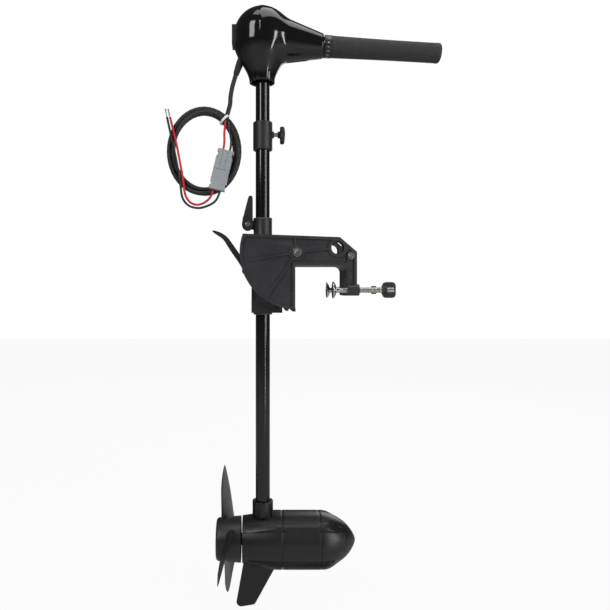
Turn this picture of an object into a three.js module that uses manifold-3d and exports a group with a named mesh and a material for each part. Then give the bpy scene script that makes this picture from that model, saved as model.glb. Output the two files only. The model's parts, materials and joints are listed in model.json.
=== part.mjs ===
// Transom-mount electric trolling motor: a screw-clamp bracket, a tilting carrier, a shaft tube that
// turns and slides in it, a control head with a twist grip above and a motor pod with a propeller below.
// Millimetres, +Z up, +X towards the boat. The pieces are laid out from the shaft's axis (X = 0, Y = 0)
// and the clamp screws' height (Z = 0); the finished group has its origin under the bracket's arm,
// on the seat that rests on top of the transom.
import * as THREE from 'three';
import { mergeVertices } from 'three/addons/utils/BufferGeometryUtils.js';
import Module from 'manifold-3d';

const wasm = await Module();
wasm.setup();

// ---------------------------------------------------------------------------------------------------
// Driving dimensions

const GAP = 0.3; // between two pieces that touch, and round a pin in its hole
const ROUND = 24; // sides of a turned piece
const SMALL_ROUND = 12; // sides of a pin or a screw

// Shaft tube, a standard one inch tube
const TUBE_RADIUS = 12.7;
const TUBE_WALL = 1.6;
const TUBE_IN_HEAD = 34; // length held in the head's neck
const TUBE_IN_SOCKET = 34; // length held in the motor's socket
const HEAD_FOOT_Z = 368; // underside of the head's neck
const SOCKET_TOP_Z = -374; // mouth of the motor's socket
const MOTOR_LEAD_RADIUS = 5; // lead that runs down inside the tube

// Clamp bracket
const PIVOT_X = 57.7; // tilt pivot, ahead of the shaft
const PIVOT_Z = 64.1;
const FAN_RADIUS = 97.5; // round rear edge of the side castings, about the pivot
const BRACKET_HALF_WIDTH = 48;
const SLOT_HALF_WIDTH = 22; // half the slot between the side castings
const TRANSOM_FACE_X = 55; // face that bears on the outside of the transom
const JAW_OPENING = 88; // transom face to the leg's inner face
const SEAT_Z = 42.5; // underside of the arm, which rests on the transom
const SEAT_POINT_X = 90; // the part's origin is here, on the seat
const FAN_TOP_Z = 96;
const ARM_TOP_Z = 90;
const LEG_DEPTH = 17;
const LEG_FOOT_Z = -2;
const LEG_SHOULDER_Z = 65; // where the leg's outer face meets the chamfered corner
const ARM_CHAMFER = 29;
const ARM_FILLET = 10; // inner corner of arm and leg
const CASTING_WALL = 4.5; // rim and web of a side casting
const PANEL_RECESS = 2.6; // how far the panels lie below the rim
const RIM_WIDTH = 5;
const RIB_WIDTH = 3.4;
const HUB_RADIUS = 14; // ring round the pivot
const ROPE_EYE = { x: 127.5, z: 72, ring: 16.5, hole: 11 };
const LEG_SCREW = { x: 149.5, z: 58, ring: 7.5, radius: 3, head: 5.6, headHeight: 3 };
const PIVOT_BOLT = { radius: 5, head: 7.4, headHeight: 4.2, nutHeight: 6 };
const SADDLE_WALL = 6; // plate that joins the two sides round the jaw
const SADDLE_FOOT_Z = -30;
const SADDLE_LEG_FOOT_Z = -10;

// Clamp screws, trapezoidal thread 10 x 2
const CLAMP_SPACING = 92;
const CLAMP_RADIUS = 5;
const CLAMP_BOSS = { radius: 9.8, length: 20.5 };
const CLAMP_PAD = { radius: 14.5, thickness: 5.5, cup: 2.2, faceX: 118.5 };
const CLAMP_TRAVEL_IN = 38; // how far a screw can go in before its wing meets the boss
const WING = { length: 22, height: 27, thickness: 7, hub: 7.6, hubLength: 7 };

// Carrier, which tilts on the pivot and holds the shaft
const BUSH_WALL = 1.3;
const CARRIER_COLLAR_RADIUS = 16.7;
const CARRIER_TOP_Z = 124.3;
const CARRIER_FOOT_Z = -40;
const CARRIER_SIDE_GAP = 0.6; // to each side casting
const CARRIER_REAR_X = -20;
const FOOT_BLOCK_TOP_Z = -16;
const FOOT_BLOCK_FRONT_X = 34;
const PIVOT_BARREL_RADIUS = 13.5;
const BUSH_FLANGE = 3.4;
const BUSH_LENGTH = 34;

// Clamp lever on the carrier's split collar
const CAM_PIN = { x: -27, z: 116, radius: 2.8, head: 4.4 };
const CAM_RADIUS = 10.2; // round foot of the lever
const CAM_EAR_HALF = 4.6; // half thickness of the collar's ear
const CAM_CHEEK = 4; // thickness of each cheek of the lever
const CAM_LEVER_TOP_Z = 167;

// Tilt release lever
const TILT_PIN = { x: -30, z: 34, radius: 2.8 };
const TILT_LEVER_HALF = 6.5;
const TILT_HUB_RADIUS = 7;
const TILT_EAR_WALL = 3.5;

// Depth collar on the shaft
const COLLAR = { radius: 17.25, foot: 248, height: 50, screwZ: 276 };
const COLLAR_SCREW_RADIUS = 3.8;
const COLLAR_PAD_LENGTH = 2;
const COLLAR_KNOB = { start: 26.5, length: 12, radius: 16.5, lobes: 5 };

// Control head
const BULB_RADIUS = 50.5;
const BULB_Z = 452;
const BULB_X = -1;
const NECK_RADIUS = 22.5;
const FUNNEL_HEIGHT = 70; // over which the neck widens into the bulb
const HEAD_FLATTENING = 0.92; // width across over depth fore and aft
const HEAD_WALL = 3;
const CAVITY_FLOOR_Z = 400;
const SPOUT_END_X = 107; // end of the tapered spout that carries the handle
const SPOUT_END_Z = 433.5;
const SPOUT_ROOT_Z = 450;
const SPOUT_ROOT_RADIUS = 48.5;
const SPOUT_END_RADIUS = 21.3;
const METER = { x: -54.5, depth: 12, half: 17, z: 450, width: 15 };

// Handle and twist grip
const HANDLE_SLOPE = THREE.MathUtils.degToRad(3.4); // below the horizontal
const HANDLE_RADIUS = 10.5;
const HANDLE_WALL = 2.2;
const HANDLE_INNER_LENGTH = 71.7; // inside the head
const GRIP_LENGTH = 209;
const GRIP_START_RADIUS = 19.4;
const GRIP_WAIST_RADIUS = 17.4;
const GRIP_CORE_WALL = 2;
const NUMBER_RING_LENGTH = 15;
const SWITCH_ROD_RADIUS = 4;
const SWITCH_SIZE = 28;

// Motor pod, about an axis along X
const MOTOR_Z = -443;
const MOTOR_REAR_X = -36;
const MOTOR_SEAM_REAR_X = 34;
const MOTOR_SEAM_FRONT_X = 101;
const MOTOR_NOSE_X = 164;
const MOTOR_REAR_RADIUS = 39.6;
const MOTOR_RADIUS = 45.8;
const MOTOR_WALL = 4;
const SOCKET_RADIUS = 18.3;
const RIB_TOP_RADIUS = 52;
const RIB_HALF_WIDTH = 7;
const RIB_START_X = -29;
const RIB_FULL_X = 25;
const RIB_FADE_X = 136;
const SKEG = { rearTop: -34, frontTop: 25, rearFoot: -47, frontFoot: -11, footZ: -563, half: 3 };
const MOTOR_SHAFT_RADIUS = 5;
const BEARING = { radius: 13, length: 9 };
const ARMATURE = { radius: 27, start: 28, end: 88, slots: 10, slotDepth: 5 };
const COMMUTATOR = { radius: 12, start: 6, end: 22 };
const MAGNET = { thickness: 7.5, start: 24, end: 96, spread: 130 };

// Propeller
const HUB_FRONT_X = -38.5;
const HUB_REAR_X = -82;
const HUB_FRONT_RADIUS = 39;
const HUB_REAR_RADIUS = 36;
const HUB_WALL = 4;
const BLADE_TIP_RADIUS = 130;
const BLADE_COUNT = 3;
const BLADE_CHORD = 92;
const BLADE_ROOT_CHORD = 46;
const BLADE_PITCH = 95; // advance in one turn
const BLADE_MIDDLE_X = -61;
const BLADE_RAKE = -10;
const BLADE_THICKNESS = 5.6;

// Supply lead: the sheathed cable, its coil, the plug and socket pair and the two battery wires
const CABLE_RADIUS = 4;
const GLAND_START = new THREE.Vector3(-38, 0, 412);
const GLAND_END = new THREE.Vector3(-47.6, 0, 384);
const GLAND_RADIUS = 6.4;
const COIL = { x: -104, z: 246, halfWidth: 58.5, halfHeight: 72, radius: 9 };
const TIE_ANGLE = THREE.MathUtils.degToRad(52); // where the tie sits on the coil
const WIRE_RADIUS = 2;
const CONNECTOR = { length: 35.5, width: 28, thickness: 16 };
const CONNECTOR_MIDDLE = new THREE.Vector3(-72.5, -17.6, 209.5);
const CONNECTOR_LEAN = THREE.MathUtils.degToRad(14);
const TERMINAL = { radius: 1.3, length: 15 };

// Places that follow from the sizes above
const LEG_INNER_X = TRANSOM_FACE_X + JAW_OPENING;
const LEG_OUTER_X = LEG_INNER_X + LEG_DEPTH;
const TUBE_TOP_Z = HEAD_FOOT_Z + TUBE_IN_HEAD;
const TUBE_FOOT_Z = SOCKET_TOP_Z - TUBE_IN_SOCKET;
const BUSH_BORE = TUBE_RADIUS + GAP;
const BUSH_RADIUS = BUSH_BORE + BUSH_WALL;
const CARRIER_BORE = BUSH_RADIUS + GAP;
const CARRIER_HALF_WIDTH = SLOT_HALF_WIDTH - CARRIER_SIDE_GAP;

// ---------------------------------------------------------------------------------------------------
// Materials

function finish(color, roughness, metalness) {
  return new THREE.MeshStandardMaterial({ color, roughness, metalness });
}

const glossBlack = () => finish(0x0b0b0d, 0.15, 0);
const tubeBlack = () => finish(0x101012, 0.2, 0.1);
const castGrey = () => finish(0x2b2b2e, 0.5, 0);
const rubberGrey = () => finish(0x2a2a2c, 0.8, 0);
const podBlack = () => finish(0x161617, 0.45, 0);
const bladeBlack = () => finish(0x1c1c1c, 0.4, 0);
const stainless = () => finish(0xb9b7b2, 0.3, 1);
const steel = () => finish(0x8d8f92, 0.35, 1);
const copper = () => finish(0xa5632e, 0.4, 1);
const ferrite = () => finish(0x3a3a3d, 0.7, 0.2);
const nylonGrey = () => finish(0x3c3d40, 0.6, 0);
const connectorGrey = () => finish(0x8b9094, 0.5, 0);
const sheathBlack = () => finish(0x1a1516, 0.6, 0);
const wireRed = () => finish(0xc01020, 0.45, 0);
const wireBlack = () => finish(0x141616, 0.45, 0);
const tieWhite = () => finish(0xf0f0ec, 0.4, 0);
const tinned = () => finish(0xd0d0cc, 0.35, 1);

// ---------------------------------------------------------------------------------------------------
// Geometry helpers

// A closed geometry as a solid that can be joined and cut.
function solidOf(geometry) {
  const bare = geometry.index ? geometry.toNonIndexed() : geometry.clone();
  for (const name of Object.keys(bare.attributes)) {
    if (name !== 'position') bare.deleteAttribute(name);
  }
  const merged = mergeVertices(bare, 1e-4);
  return new wasm.Manifold(new wasm.Mesh({
    numProp: 3,
    vertProperties: new Float32Array(merged.attributes.position.array),
    triVerts: new Uint32Array(merged.index.array),
  }));
}

function geometryOf(solid) {
  const mesh = solid.getMesh();
  const geometry = new THREE.BufferGeometry();
  geometry.setAttribute('position', new THREE.BufferAttribute(mesh.vertProperties, 3));
  geometry.setIndex(new THREE.BufferAttribute(mesh.triVerts, 1));
  geometry.computeVertexNormals();
  return geometry;
}

function join(geometries) {
  return geometries.map(solidOf).reduce((all, one) => all.add(one));
}

function cut(body, geometries) {
  return geometries.map(solidOf).reduce((left, one) => left.subtract(one), body);
}

function barX(radius, x0, x1, y = 0, z = 0, sides = ROUND) {
  const bar = new THREE.CylinderGeometry(radius, radius, x1 - x0, sides);
  return bar.rotateZ(-Math.PI / 2).translate((x0 + x1) / 2, y, z);
}

function barY(radius, y0, y1, x = 0, z = 0, sides = ROUND) {
  return new THREE.CylinderGeometry(radius, radius, y1 - y0, sides).translate(x, (y0 + y1) / 2, z);
}

function barZ(radius, z0, z1, x = 0, y = 0, sides = ROUND) {
  const bar = new THREE.CylinderGeometry(radius, radius, z1 - z0, sides);
  return bar.rotateX(Math.PI / 2).translate(x, y, (z0 + z1) / 2);
}

function block(x0, x1, y0, y1, z0, z1) {
  const box = new THREE.BoxGeometry(x1 - x0, y1 - y0, z1 - z0);
  return box.translate((x0 + x1) / 2, (y0 + y1) / 2, (z0 + z1) / 2);
}

// Revolves [radius, height] points, listed so that the outer side goes up, about the Z axis.
function turnedZ(profile, sides = ROUND) {
  const points = profile.map(([radius, height]) => new THREE.Vector2(radius, height));
  return new THREE.LatheGeometry(points, sides).rotateX(Math.PI / 2);
}

// The same about an axis along X, where height becomes X.
function turnedX(profile, sides = ROUND) {
  const points = profile.map(([radius, height]) => new THREE.Vector2(radius, height));
  return new THREE.LatheGeometry(points, sides).rotateZ(-Math.PI / 2);
}

function ringProfile(inner, outer, low, high) {
  return [[inner, low], [outer, low], [outer, high], [inner, high], [inner, low]];
}

// Extrudes an outline of the XZ plane along Y, from y0 to y1.
function plateXZ(outline, y0, y1) {
  const shape = new THREE.Shape(outline);
  const plate = new THREE.ExtrudeGeometry(shape, { depth: y1 - y0, bevelEnabled: false });
  return plate.rotateX(Math.PI / 2).translate(0, y1, 0);
}

// The same plate on one side of the middle plane: side is -1 or 1, near and far are distances from it.
function sidePlate(outline, side, near, far) {
  return side > 0 ? plateXZ(outline, near, far) : plateXZ(outline, -far, -near);
}

function sideBarY(radius, side, near, far, x, z, sides = ROUND) {
  const [y0, y1] = side > 0 ? [near, far] : [-far, -near];
  return barY(radius, y0, y1, x, z, sides);
}

function arcPoints(x, z, radius, from, to, steps) {
  return Array.from({ length: steps + 1 }, (_, i) => {
    const angle = THREE.MathUtils.degToRad(from + ((to - from) * i) / steps);
    return new THREE.Vector2(x + radius * Math.cos(angle), z + radius * Math.sin(angle));
  });
}

// Moves each side of a counter-clockwise outline inwards by a distance.
function inset(outline, distance) {
  const normal = (from, to) => new THREE.Vector2(from.y - to.y, to.x - from.x).normalize();
  return outline.map((point, i) => {
    const before = outline[(i + outline.length - 1) % outline.length];
    const after = outline[(i + 1) % outline.length];
    const corner = normal(before, point).add(normal(point, after));
    return point.clone().addScaledVector(corner, (2 * distance) / corner.lengthSq());
  });
}

// A straight bar of the XZ plane, as an outline of the given width.
function stripOutline(x0, z0, x1, z1, width) {
  const along = new THREE.Vector2(x1 - x0, z1 - z0).normalize();
  const across = new THREE.Vector2(-along.y, along.x).multiplyScalar(width / 2);
  const from = new THREE.Vector2(x0, z0);
  const to = new THREE.Vector2(x1, z1);
  return [from.clone().sub(across), to.clone().sub(across), to.clone().add(across), from.clone().add(across)];
}

// Skins rings of equal length, each listed from one edge round both faces, and closes both ends.
function loft(rings) {
  const count = rings[0].length;
  const index = [];
  for (let ring = 0; ring + 1 < rings.length; ring++) {
    for (let i = 0; i < count; i++) {
      const a = ring * count + i;
      const b = ring * count + ((i + 1) % count);
      index.push(a, b, b + count, a, b + count, a + count);
    }
  }
  const cap = (first, turned) => {
    for (let i = 0; i < count / 2; i++) {
      const face = [i, i + 1, count - i - 1, (count - i) % count].map((corner) => first + corner);
      if (turned) face.reverse();
      index.push(face[0], face[1], face[2], face[0], face[2], face[3]);
    }
  };
  cap(0, true);
  cap((rings.length - 1) * count, false);
  const geometry = new THREE.BufferGeometry();
  const positions = rings.flat().flatMap((point) => point.toArray());
  geometry.setAttribute('position', new THREE.Float32BufferAttribute(positions, 3));
  geometry.setIndex(index);
  return geometry;
}

// A round cord along hand-laid points.
function cordAlong(points, radius, sides, steps) {
  const path = new THREE.CatmullRomCurve3(points.map(([x, y, z]) => new THREE.Vector3(x, y, z)));
  const section = new THREE.Shape(arcPoints(0, 0, radius, 0, 360 - 360 / sides, sides - 1));
  return new THREE.ExtrudeGeometry(section, { steps, extrudePath: path });
}

// Turns a geometry made along +Z so that it runs from one point towards another.
function laidAlong(geometry, from, to) {
  const direction = to.clone().sub(from).normalize();
  const turn = new THREE.Quaternion().setFromUnitVectors(new THREE.Vector3(0, 0, 1), direction);
  return geometry.applyQuaternion(turn).translate(from.x, from.y, from.z);
}

const assembly = new THREE.Group();

function add(name, shape, material, parent = assembly) {
  const geometry = shape.isBufferGeometry ? shape : geometryOf(shape);
  const mesh = new THREE.Mesh(geometry, material);
  mesh.name = name;
  parent.add(mesh);
}

// ---------------------------------------------------------------------------------------------------
// Clamp bracket

// Outline of a side casting: transom face, arm, leg, chamfered corner, top edge and round fan.
function sideOutline() {
  const fanFrom = 180 - THREE.MathUtils.radToDeg(Math.asin((FAN_TOP_Z - PIVOT_Z) / FAN_RADIUS));
  const fanTo = 180 + THREE.MathUtils.radToDeg(Math.acos((PIVOT_X - TRANSOM_FACE_X) / FAN_RADIUS));
  return [
    new THREE.Vector2(TRANSOM_FACE_X, SEAT_Z),
    ...arcPoints(LEG_INNER_X - ARM_FILLET, SEAT_Z - ARM_FILLET, ARM_FILLET, 90, 0, 4),
    new THREE.Vector2(LEG_INNER_X, LEG_FOOT_Z),
    new THREE.Vector2(LEG_OUTER_X, LEG_FOOT_Z),
    new THREE.Vector2(LEG_OUTER_X, LEG_SHOULDER_Z),
    new THREE.Vector2(LEG_OUTER_X - ARM_CHAMFER, ARM_TOP_Z),
    ...arcPoints(PIVOT_X, PIVOT_Z, FAN_RADIUS, fanFrom, fanTo, 20),
  ];
}

// The raised lines on a side's outer face: ribs that run from the pivot's ring, and the rings.
function raisedLines(side) {
  const near = BRACKET_HALF_WIDTH - PANEL_RECESS - 1;
  const strips = [
    [PIVOT_X, PIVOT_Z, PIVOT_X - 5, FAN_TOP_Z],
    [PIVOT_X, PIVOT_Z, PIVOT_X - FAN_RADIUS + 1, PIVOT_Z - 16],
    [PIVOT_X, PIVOT_Z, PIVOT_X - 52, PIVOT_Z - 78],
    [PIVOT_X, PIVOT_Z, ROPE_EYE.x, ROPE_EYE.z],
    [ROPE_EYE.x, ROPE_EYE.z, LEG_OUTER_X - 5, ARM_TOP_Z - 18],
    [LEG_SCREW.x, LEG_SCREW.z, LEG_INNER_X - 2, SEAT_Z],
  ];
  const rings = [
    [HUB_RADIUS, PIVOT_X, PIVOT_Z],
    [ROPE_EYE.ring, ROPE_EYE.x, ROPE_EYE.z],
    [LEG_SCREW.ring, LEG_SCREW.x, LEG_SCREW.z],
  ];
  return join([
    ...strips.map((ends) => sidePlate(stripOutline(...ends, RIB_WIDTH), side, near, BRACKET_HALF_WIDTH)),
    ...rings.map(([radius, x, z]) => sideBarY(radius, side, near, BRACKET_HALF_WIDTH, x, z)),
  ]);
}

// Three blunt teeth under the fan, next to the transom face.
function lockTeeth(side) {
  return [252, 259, 266].map((angle) => {
    const [from, to] = arcPoints(PIVOT_X, PIVOT_Z, FAN_RADIUS, angle, angle + 3.2, 1);
    const outline = [from, from.clone(), to, to.clone()];
    const centre = new THREE.Vector2(PIVOT_X, PIVOT_Z);
    const scaled = (point, radius) => point.clone().sub(centre).setLength(radius).add(centre);
    outline[0] = scaled(from, FAN_RADIUS - 2);
    outline[1] = scaled(from, FAN_RADIUS + 4);
    outline[2] = scaled(to, FAN_RADIUS + 4);
    outline[3] = scaled(to, FAN_RADIUS - 2);
    return sidePlate(outline, side, SLOT_HALF_WIDTH, SLOT_HALF_WIDTH + 12);
  });
}

function bracketSide(side) {
  const outline = sideOutline();
  const webFace = BRACKET_HALF_WIDTH - PANEL_RECESS;
  const clampY = (side * CLAMP_SPACING) / 2;
  const bossEnd = LEG_INNER_X + CLAMP_BOSS.length;
  const panel = solidOf(sidePlate(inset(outline, RIM_WIDTH), side, webFace, BRACKET_HALF_WIDTH + 1));
  const pocket = sidePlate(inset(outline, CASTING_WALL), side, SLOT_HALF_WIDTH - 1, webFace - CASTING_WALL);
  const boss = (radius, x, z) => sideBarY(radius, side, SLOT_HALF_WIDTH, webFace, x, z);
  const hole = (radius, x, z) => sideBarY(radius, side, SLOT_HALF_WIDTH - 1, BRACKET_HALF_WIDTH + 1, x, z);
  let body = solidOf(sidePlate(outline, side, SLOT_HALF_WIDTH, BRACKET_HALF_WIDTH));
  body = body.subtract(panel.subtract(raisedLines(side)));
  body = cut(body, [pocket]);
  body = body.add(join([
    boss(HUB_RADIUS - 2, PIVOT_X, PIVOT_Z),
    boss(ROPE_EYE.ring - 1, ROPE_EYE.x, ROPE_EYE.z),
    boss(LEG_SCREW.ring, LEG_SCREW.x, LEG_SCREW.z),
    barX(CLAMP_BOSS.radius, LEG_INNER_X + 0.5, bossEnd, clampY, 0),
    ...lockTeeth(side),
  ]));
  return cut(body, [
    hole(PIVOT_BOLT.radius + GAP, PIVOT_X, PIVOT_Z),
    hole(ROPE_EYE.hole, ROPE_EYE.x, ROPE_EYE.z),
    hole(LEG_SCREW.radius + GAP, LEG_SCREW.x, LEG_SCREW.z),
    barX(CLAMP_RADIUS + GAP, LEG_INNER_X - 1, bossEnd + 1, clampY, 0),
  ]);
}

// C-shaped plate between the sides: transom face, seat and the leg's inner face in one piece.
function transomSaddle() {
  const half = SLOT_HALF_WIDTH - GAP;
  const outer = ARM_FILLET + SADDLE_WALL;
  const filletX = LEG_INNER_X - ARM_FILLET;
  const filletZ = SEAT_Z - ARM_FILLET;
  const outline = [
    new THREE.Vector2(TRANSOM_FACE_X - SADDLE_WALL, SADDLE_FOOT_Z),
    new THREE.Vector2(TRANSOM_FACE_X, SADDLE_FOOT_Z),
    new THREE.Vector2(TRANSOM_FACE_X, SEAT_Z),
    ...arcPoints(filletX, filletZ, ARM_FILLET, 90, 0, 5),
    new THREE.Vector2(LEG_INNER_X, SADDLE_LEG_FOOT_Z),
    new THREE.Vector2(LEG_INNER_X + SADDLE_WALL, SADDLE_LEG_FOOT_Z),
    ...arcPoints(filletX, filletZ, outer, 0, 90, 5),
    new THREE.Vector2(TRANSOM_FACE_X - SADDLE_WALL, SEAT_Z + SADDLE_WALL),
  ];
  return plateXZ(outline, -half, half);
}

// Cross bolt from the right side (-Y) to a nut on the left side.
function crossBolt(bolt, x, z) {
  const end = BRACKET_HALF_WIDTH + bolt.radius * 1.4;
  const face = -BRACKET_HALF_WIDTH - GAP;
  const socket = new THREE.CylinderGeometry(bolt.head * 0.45, bolt.head * 0.45, bolt.headHeight, 6);
  const head = barY(bolt.head, face - bolt.headHeight, face, x, z);
  const body = join([barY(bolt.radius, face - 0.5, end, x, z, SMALL_ROUND), head]);
  return cut(body, [socket.translate(x, face - bolt.headHeight, z)]);
}

function crossNut(bolt, x, z) {
  const face = BRACKET_HALF_WIDTH + GAP;
  const height = bolt.radius * 1.2;
  const hexagon = barY(bolt.radius * 1.8, face, face + height, x, z, 6);
  const bore = barY(bolt.radius + GAP, face - 1, face + height + 1, x, z, SMALL_ROUND);
  return cut(solidOf(hexagon), [bore]);
}

function buildBracket() {
  add('bracket_side_right', bracketSide(-1), castGrey());
  add('bracket_side_left', bracketSide(1), castGrey());
  add('transom_saddle', transomSaddle(), castGrey());
  add('pivot_bolt', crossBolt(PIVOT_BOLT, PIVOT_X, PIVOT_Z), stainless());
  add('pivot_nut', crossNut(PIVOT_BOLT, PIVOT_X, PIVOT_Z), stainless());
  add('leg_screw', crossBolt(LEG_SCREW, LEG_SCREW.x, LEG_SCREW.z), stainless());
  add('leg_nut', crossNut(LEG_SCREW, LEG_SCREW.x, LEG_SCREW.z), stainless());
}

// ---------------------------------------------------------------------------------------------------
// Clamp screws

// Cupped swivel disc that presses on the transom, with a socket for the screw's ball end.
function clampPad(y) {
  const { radius, thickness, cup, faceX } = CLAMP_PAD;
  const back = faceX + thickness;
  const profile = [
    [3, faceX + cup],
    [radius - 3, faceX + cup * 0.6],
    [radius - 1, faceX],
    [radius, faceX],
    [radius, faceX + 1.6],
    [radius - 3.5, back - 1.2],
    [CLAMP_RADIUS + 3.4, back],
    [CLAMP_RADIUS + GAP, back],
    [CLAMP_RADIUS + GAP, back - 2],
    [3, back - 2],
    [3, faceX + cup],
  ];
  return turnedX(profile).translate(0, y, 0);
}

function wingEndX() {
  return LEG_INNER_X + CLAMP_BOSS.length + CLAMP_TRAVEL_IN + 2 + WING.length;
}

function clampScrew(y) {
  const start = CLAMP_PAD.faceX + CLAMP_PAD.thickness - 2 + GAP;
  const end = wingEndX() - 2;
  return turnedX([
    [0, start],
    [CLAMP_RADIUS - 1.2, start],
    [CLAMP_RADIUS, start + 2],
    [CLAMP_RADIUS, end - 1],
    [CLAMP_RADIUS - 1, end],
    [0, end],
  ]).translate(0, y, 0);
}

// Flat wing across the screw's outer end, held by a short hub and turned to where its screw was left.
function clampWing(y, turned) {
  const { length, height, thickness, hub, hubLength } = WING;
  const end = wingEndX();
  const start = end - length;
  const corner = 6;
  const outline = [
    ...arcPoints(start + corner, corner - height / 2, corner, 180, 270, 3),
    ...arcPoints(end - corner, corner - height / 2, corner, 270, 360, 3),
    ...arcPoints(end - corner, height / 2 - corner, corner, 0, 90, 3),
    ...arcPoints(start + corner, height / 2 - corner, corner, 90, 180, 3),
  ];
  const body = join([plateXZ(outline, -thickness / 2, thickness / 2), barX(hub, start - 1, start + hubLength)]);
  return geometryOf(cut(body, [barX(CLAMP_RADIUS + GAP, start - 2, end - 2 + GAP)]))
    .rotateX(turned)
    .translate(0, y, 0);
}

function buildClamps() {
  for (const [name, side, turned] of [['right', -1, 0], ['left', 1, Math.PI / 2]]) {
    const y = (side * CLAMP_SPACING) / 2;
    add(`clamp_pad_${name}`, clampPad(y), stainless());
    add(`clamp_screw_${name}`, clampScrew(y), stainless());
    add(`clamp_wing_${name}`, clampWing(y, turned), castGrey());
  }
}

// ---------------------------------------------------------------------------------------------------
// Carrier with its bushes and levers

// Ears on the carrier's rear face that hold the tilt release lever.
function tiltEars() {
  const near = TILT_LEVER_HALF + GAP;
  const reach = TILT_PIN.x - TILT_HUB_RADIUS;
  return [-1, 1].flatMap((side) => {
    const outline = [
      new THREE.Vector2(CARRIER_REAR_X + 2, TILT_PIN.z - TILT_HUB_RADIUS),
      new THREE.Vector2(CARRIER_REAR_X + 2, TILT_PIN.z + TILT_HUB_RADIUS),
      ...arcPoints(TILT_PIN.x, TILT_PIN.z, TILT_PIN.x - reach, 90, 270, 8),
    ];
    return [sidePlate(outline, side, near, near + TILT_EAR_WALL)];
  });
}

function tiltCarrier() {
  const half = CARRIER_HALF_WIDTH;
  const front = TUBE_RADIUS + 8;
  const bodyTop = FAN_TOP_Z;
  const chamfer = 8;
  const section = new THREE.Shape([
    new THREE.Vector2(CARRIER_REAR_X + chamfer, -half),
    new THREE.Vector2(front, -half),
    new THREE.Vector2(front, half),
    new THREE.Vector2(CARRIER_REAR_X + chamfer, half),
    new THREE.Vector2(CARRIER_REAR_X, half - chamfer),
    new THREE.Vector2(CARRIER_REAR_X, chamfer - half),
  ]);
  const prism = (low, high) =>
    new THREE.ExtrudeGeometry(section, { depth: high - low, bevelEnabled: false }).translate(0, 0, low);
  const pivotArm = [
    new THREE.Vector2(front - 1, PIVOT_Z - PIVOT_BARREL_RADIUS),
    new THREE.Vector2(PIVOT_X, PIVOT_Z - PIVOT_BARREL_RADIUS),
    new THREE.Vector2(PIVOT_X, PIVOT_Z + PIVOT_BARREL_RADIUS),
    new THREE.Vector2(front - 1, PIVOT_Z + PIVOT_BARREL_RADIUS + 8),
  ];
  const ear = [
    new THREE.Vector2(CAM_PIN.x, CAM_PIN.z - 7),
    new THREE.Vector2(-TUBE_RADIUS - 2, CAM_PIN.z - 9),
    new THREE.Vector2(-TUBE_RADIUS - 2, CAM_PIN.z + 7),
    ...arcPoints(CAM_PIN.x, CAM_PIN.z, 7, 90, 225, 5),
  ];
  const body = join([
    prism(FOOT_BLOCK_TOP_Z - 1, bodyTop),
    block(CARRIER_REAR_X, FOOT_BLOCK_FRONT_X, -half + 1, half - 1, CARRIER_FOOT_Z, FOOT_BLOCK_TOP_Z),
    plateXZ(pivotArm, -half, half),
    barY(PIVOT_BARREL_RADIUS, -half, half, PIVOT_X, PIVOT_Z),
    barZ(CARRIER_COLLAR_RADIUS, bodyTop - 1, CARRIER_TOP_Z),
    plateXZ(ear, -CAM_EAR_HALF, CAM_EAR_HALF),
    ...tiltEars(),
  ]);
  const slitTop = CARRIER_TOP_Z + 1;
  return cut(body, [
    barZ(CARRIER_BORE, CARRIER_FOOT_Z - 1, slitTop),
    barY(PIVOT_BOLT.radius + GAP, -half - 1, half + 1, PIVOT_X, PIVOT_Z, SMALL_ROUND),
    barY(CAM_PIN.radius + GAP, -20, 20, CAM_PIN.x, CAM_PIN.z, SMALL_ROUND),
    barY(TILT_PIN.radius + GAP, -20, 20, TILT_PIN.x, TILT_PIN.z, SMALL_ROUND),
    block(-40, 0, -1, 1, bodyTop + 2, slitTop),
  ]);
}

// Flanged sleeve in one end of the carrier; it turns with the shaft.
function bush(end, inwards) {
  const flangeEnd = end - inwards * BUSH_FLANGE;
  const profile = [
    [BUSH_BORE, flangeEnd],
    [CARRIER_COLLAR_RADIUS, flangeEnd],
    [CARRIER_COLLAR_RADIUS, end - inwards * GAP],
    [BUSH_RADIUS, end - inwards * GAP],
    [BUSH_RADIUS, end + inwards * BUSH_LENGTH],
    [BUSH_BORE, end + inwards * BUSH_LENGTH],
    [BUSH_BORE, flangeEnd],
  ];
  if (inwards < 0) profile.reverse();
  return turnedZ(profile);
}

// Fork-footed lever that squeezes the split collar on the shaft.
function camLever() {
  const near = CAM_EAR_HALF + GAP;
  const far = near + CAM_CHEEK;
  const bladeFoot = CAM_PIN.z + 12;
  const front = -COLLAR.radius - 2 * GAP; // clear of the depth collar when that is slid down
  const cheek = [
    ...arcPoints(CAM_PIN.x, CAM_PIN.z, CAM_RADIUS, 180, 360, 8),
    new THREE.Vector2(front, bladeFoot + 2),
    new THREE.Vector2(CAM_PIN.x - 8, bladeFoot + 2),
  ];
  const blade = [
    new THREE.Vector2(CAM_PIN.x - 8, bladeFoot),
    new THREE.Vector2(front, bladeFoot),
    ...arcPoints(front - 4, CAM_LEVER_TOP_Z - 4, 4, 0, 170, 4),
  ];
  const body = join([
    sidePlate(cheek, -1, near, far),
    sidePlate(cheek, 1, near, far),
    plateXZ(blade, -far, far),
  ]);
  return cut(body, [barY(CAM_PIN.radius + GAP, -far - 1, far + 1, CAM_PIN.x, CAM_PIN.z, SMALL_ROUND)]);
}

function camPin() {
  const half = CAM_EAR_HALF + GAP + CAM_CHEEK + GAP;
  return join([
    barY(CAM_PIN.radius, -half - 0.5, half, CAM_PIN.x, CAM_PIN.z, SMALL_ROUND),
    barY(CAM_PIN.head, -half - 2, -half, CAM_PIN.x, CAM_PIN.z),
  ]);
}

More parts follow.
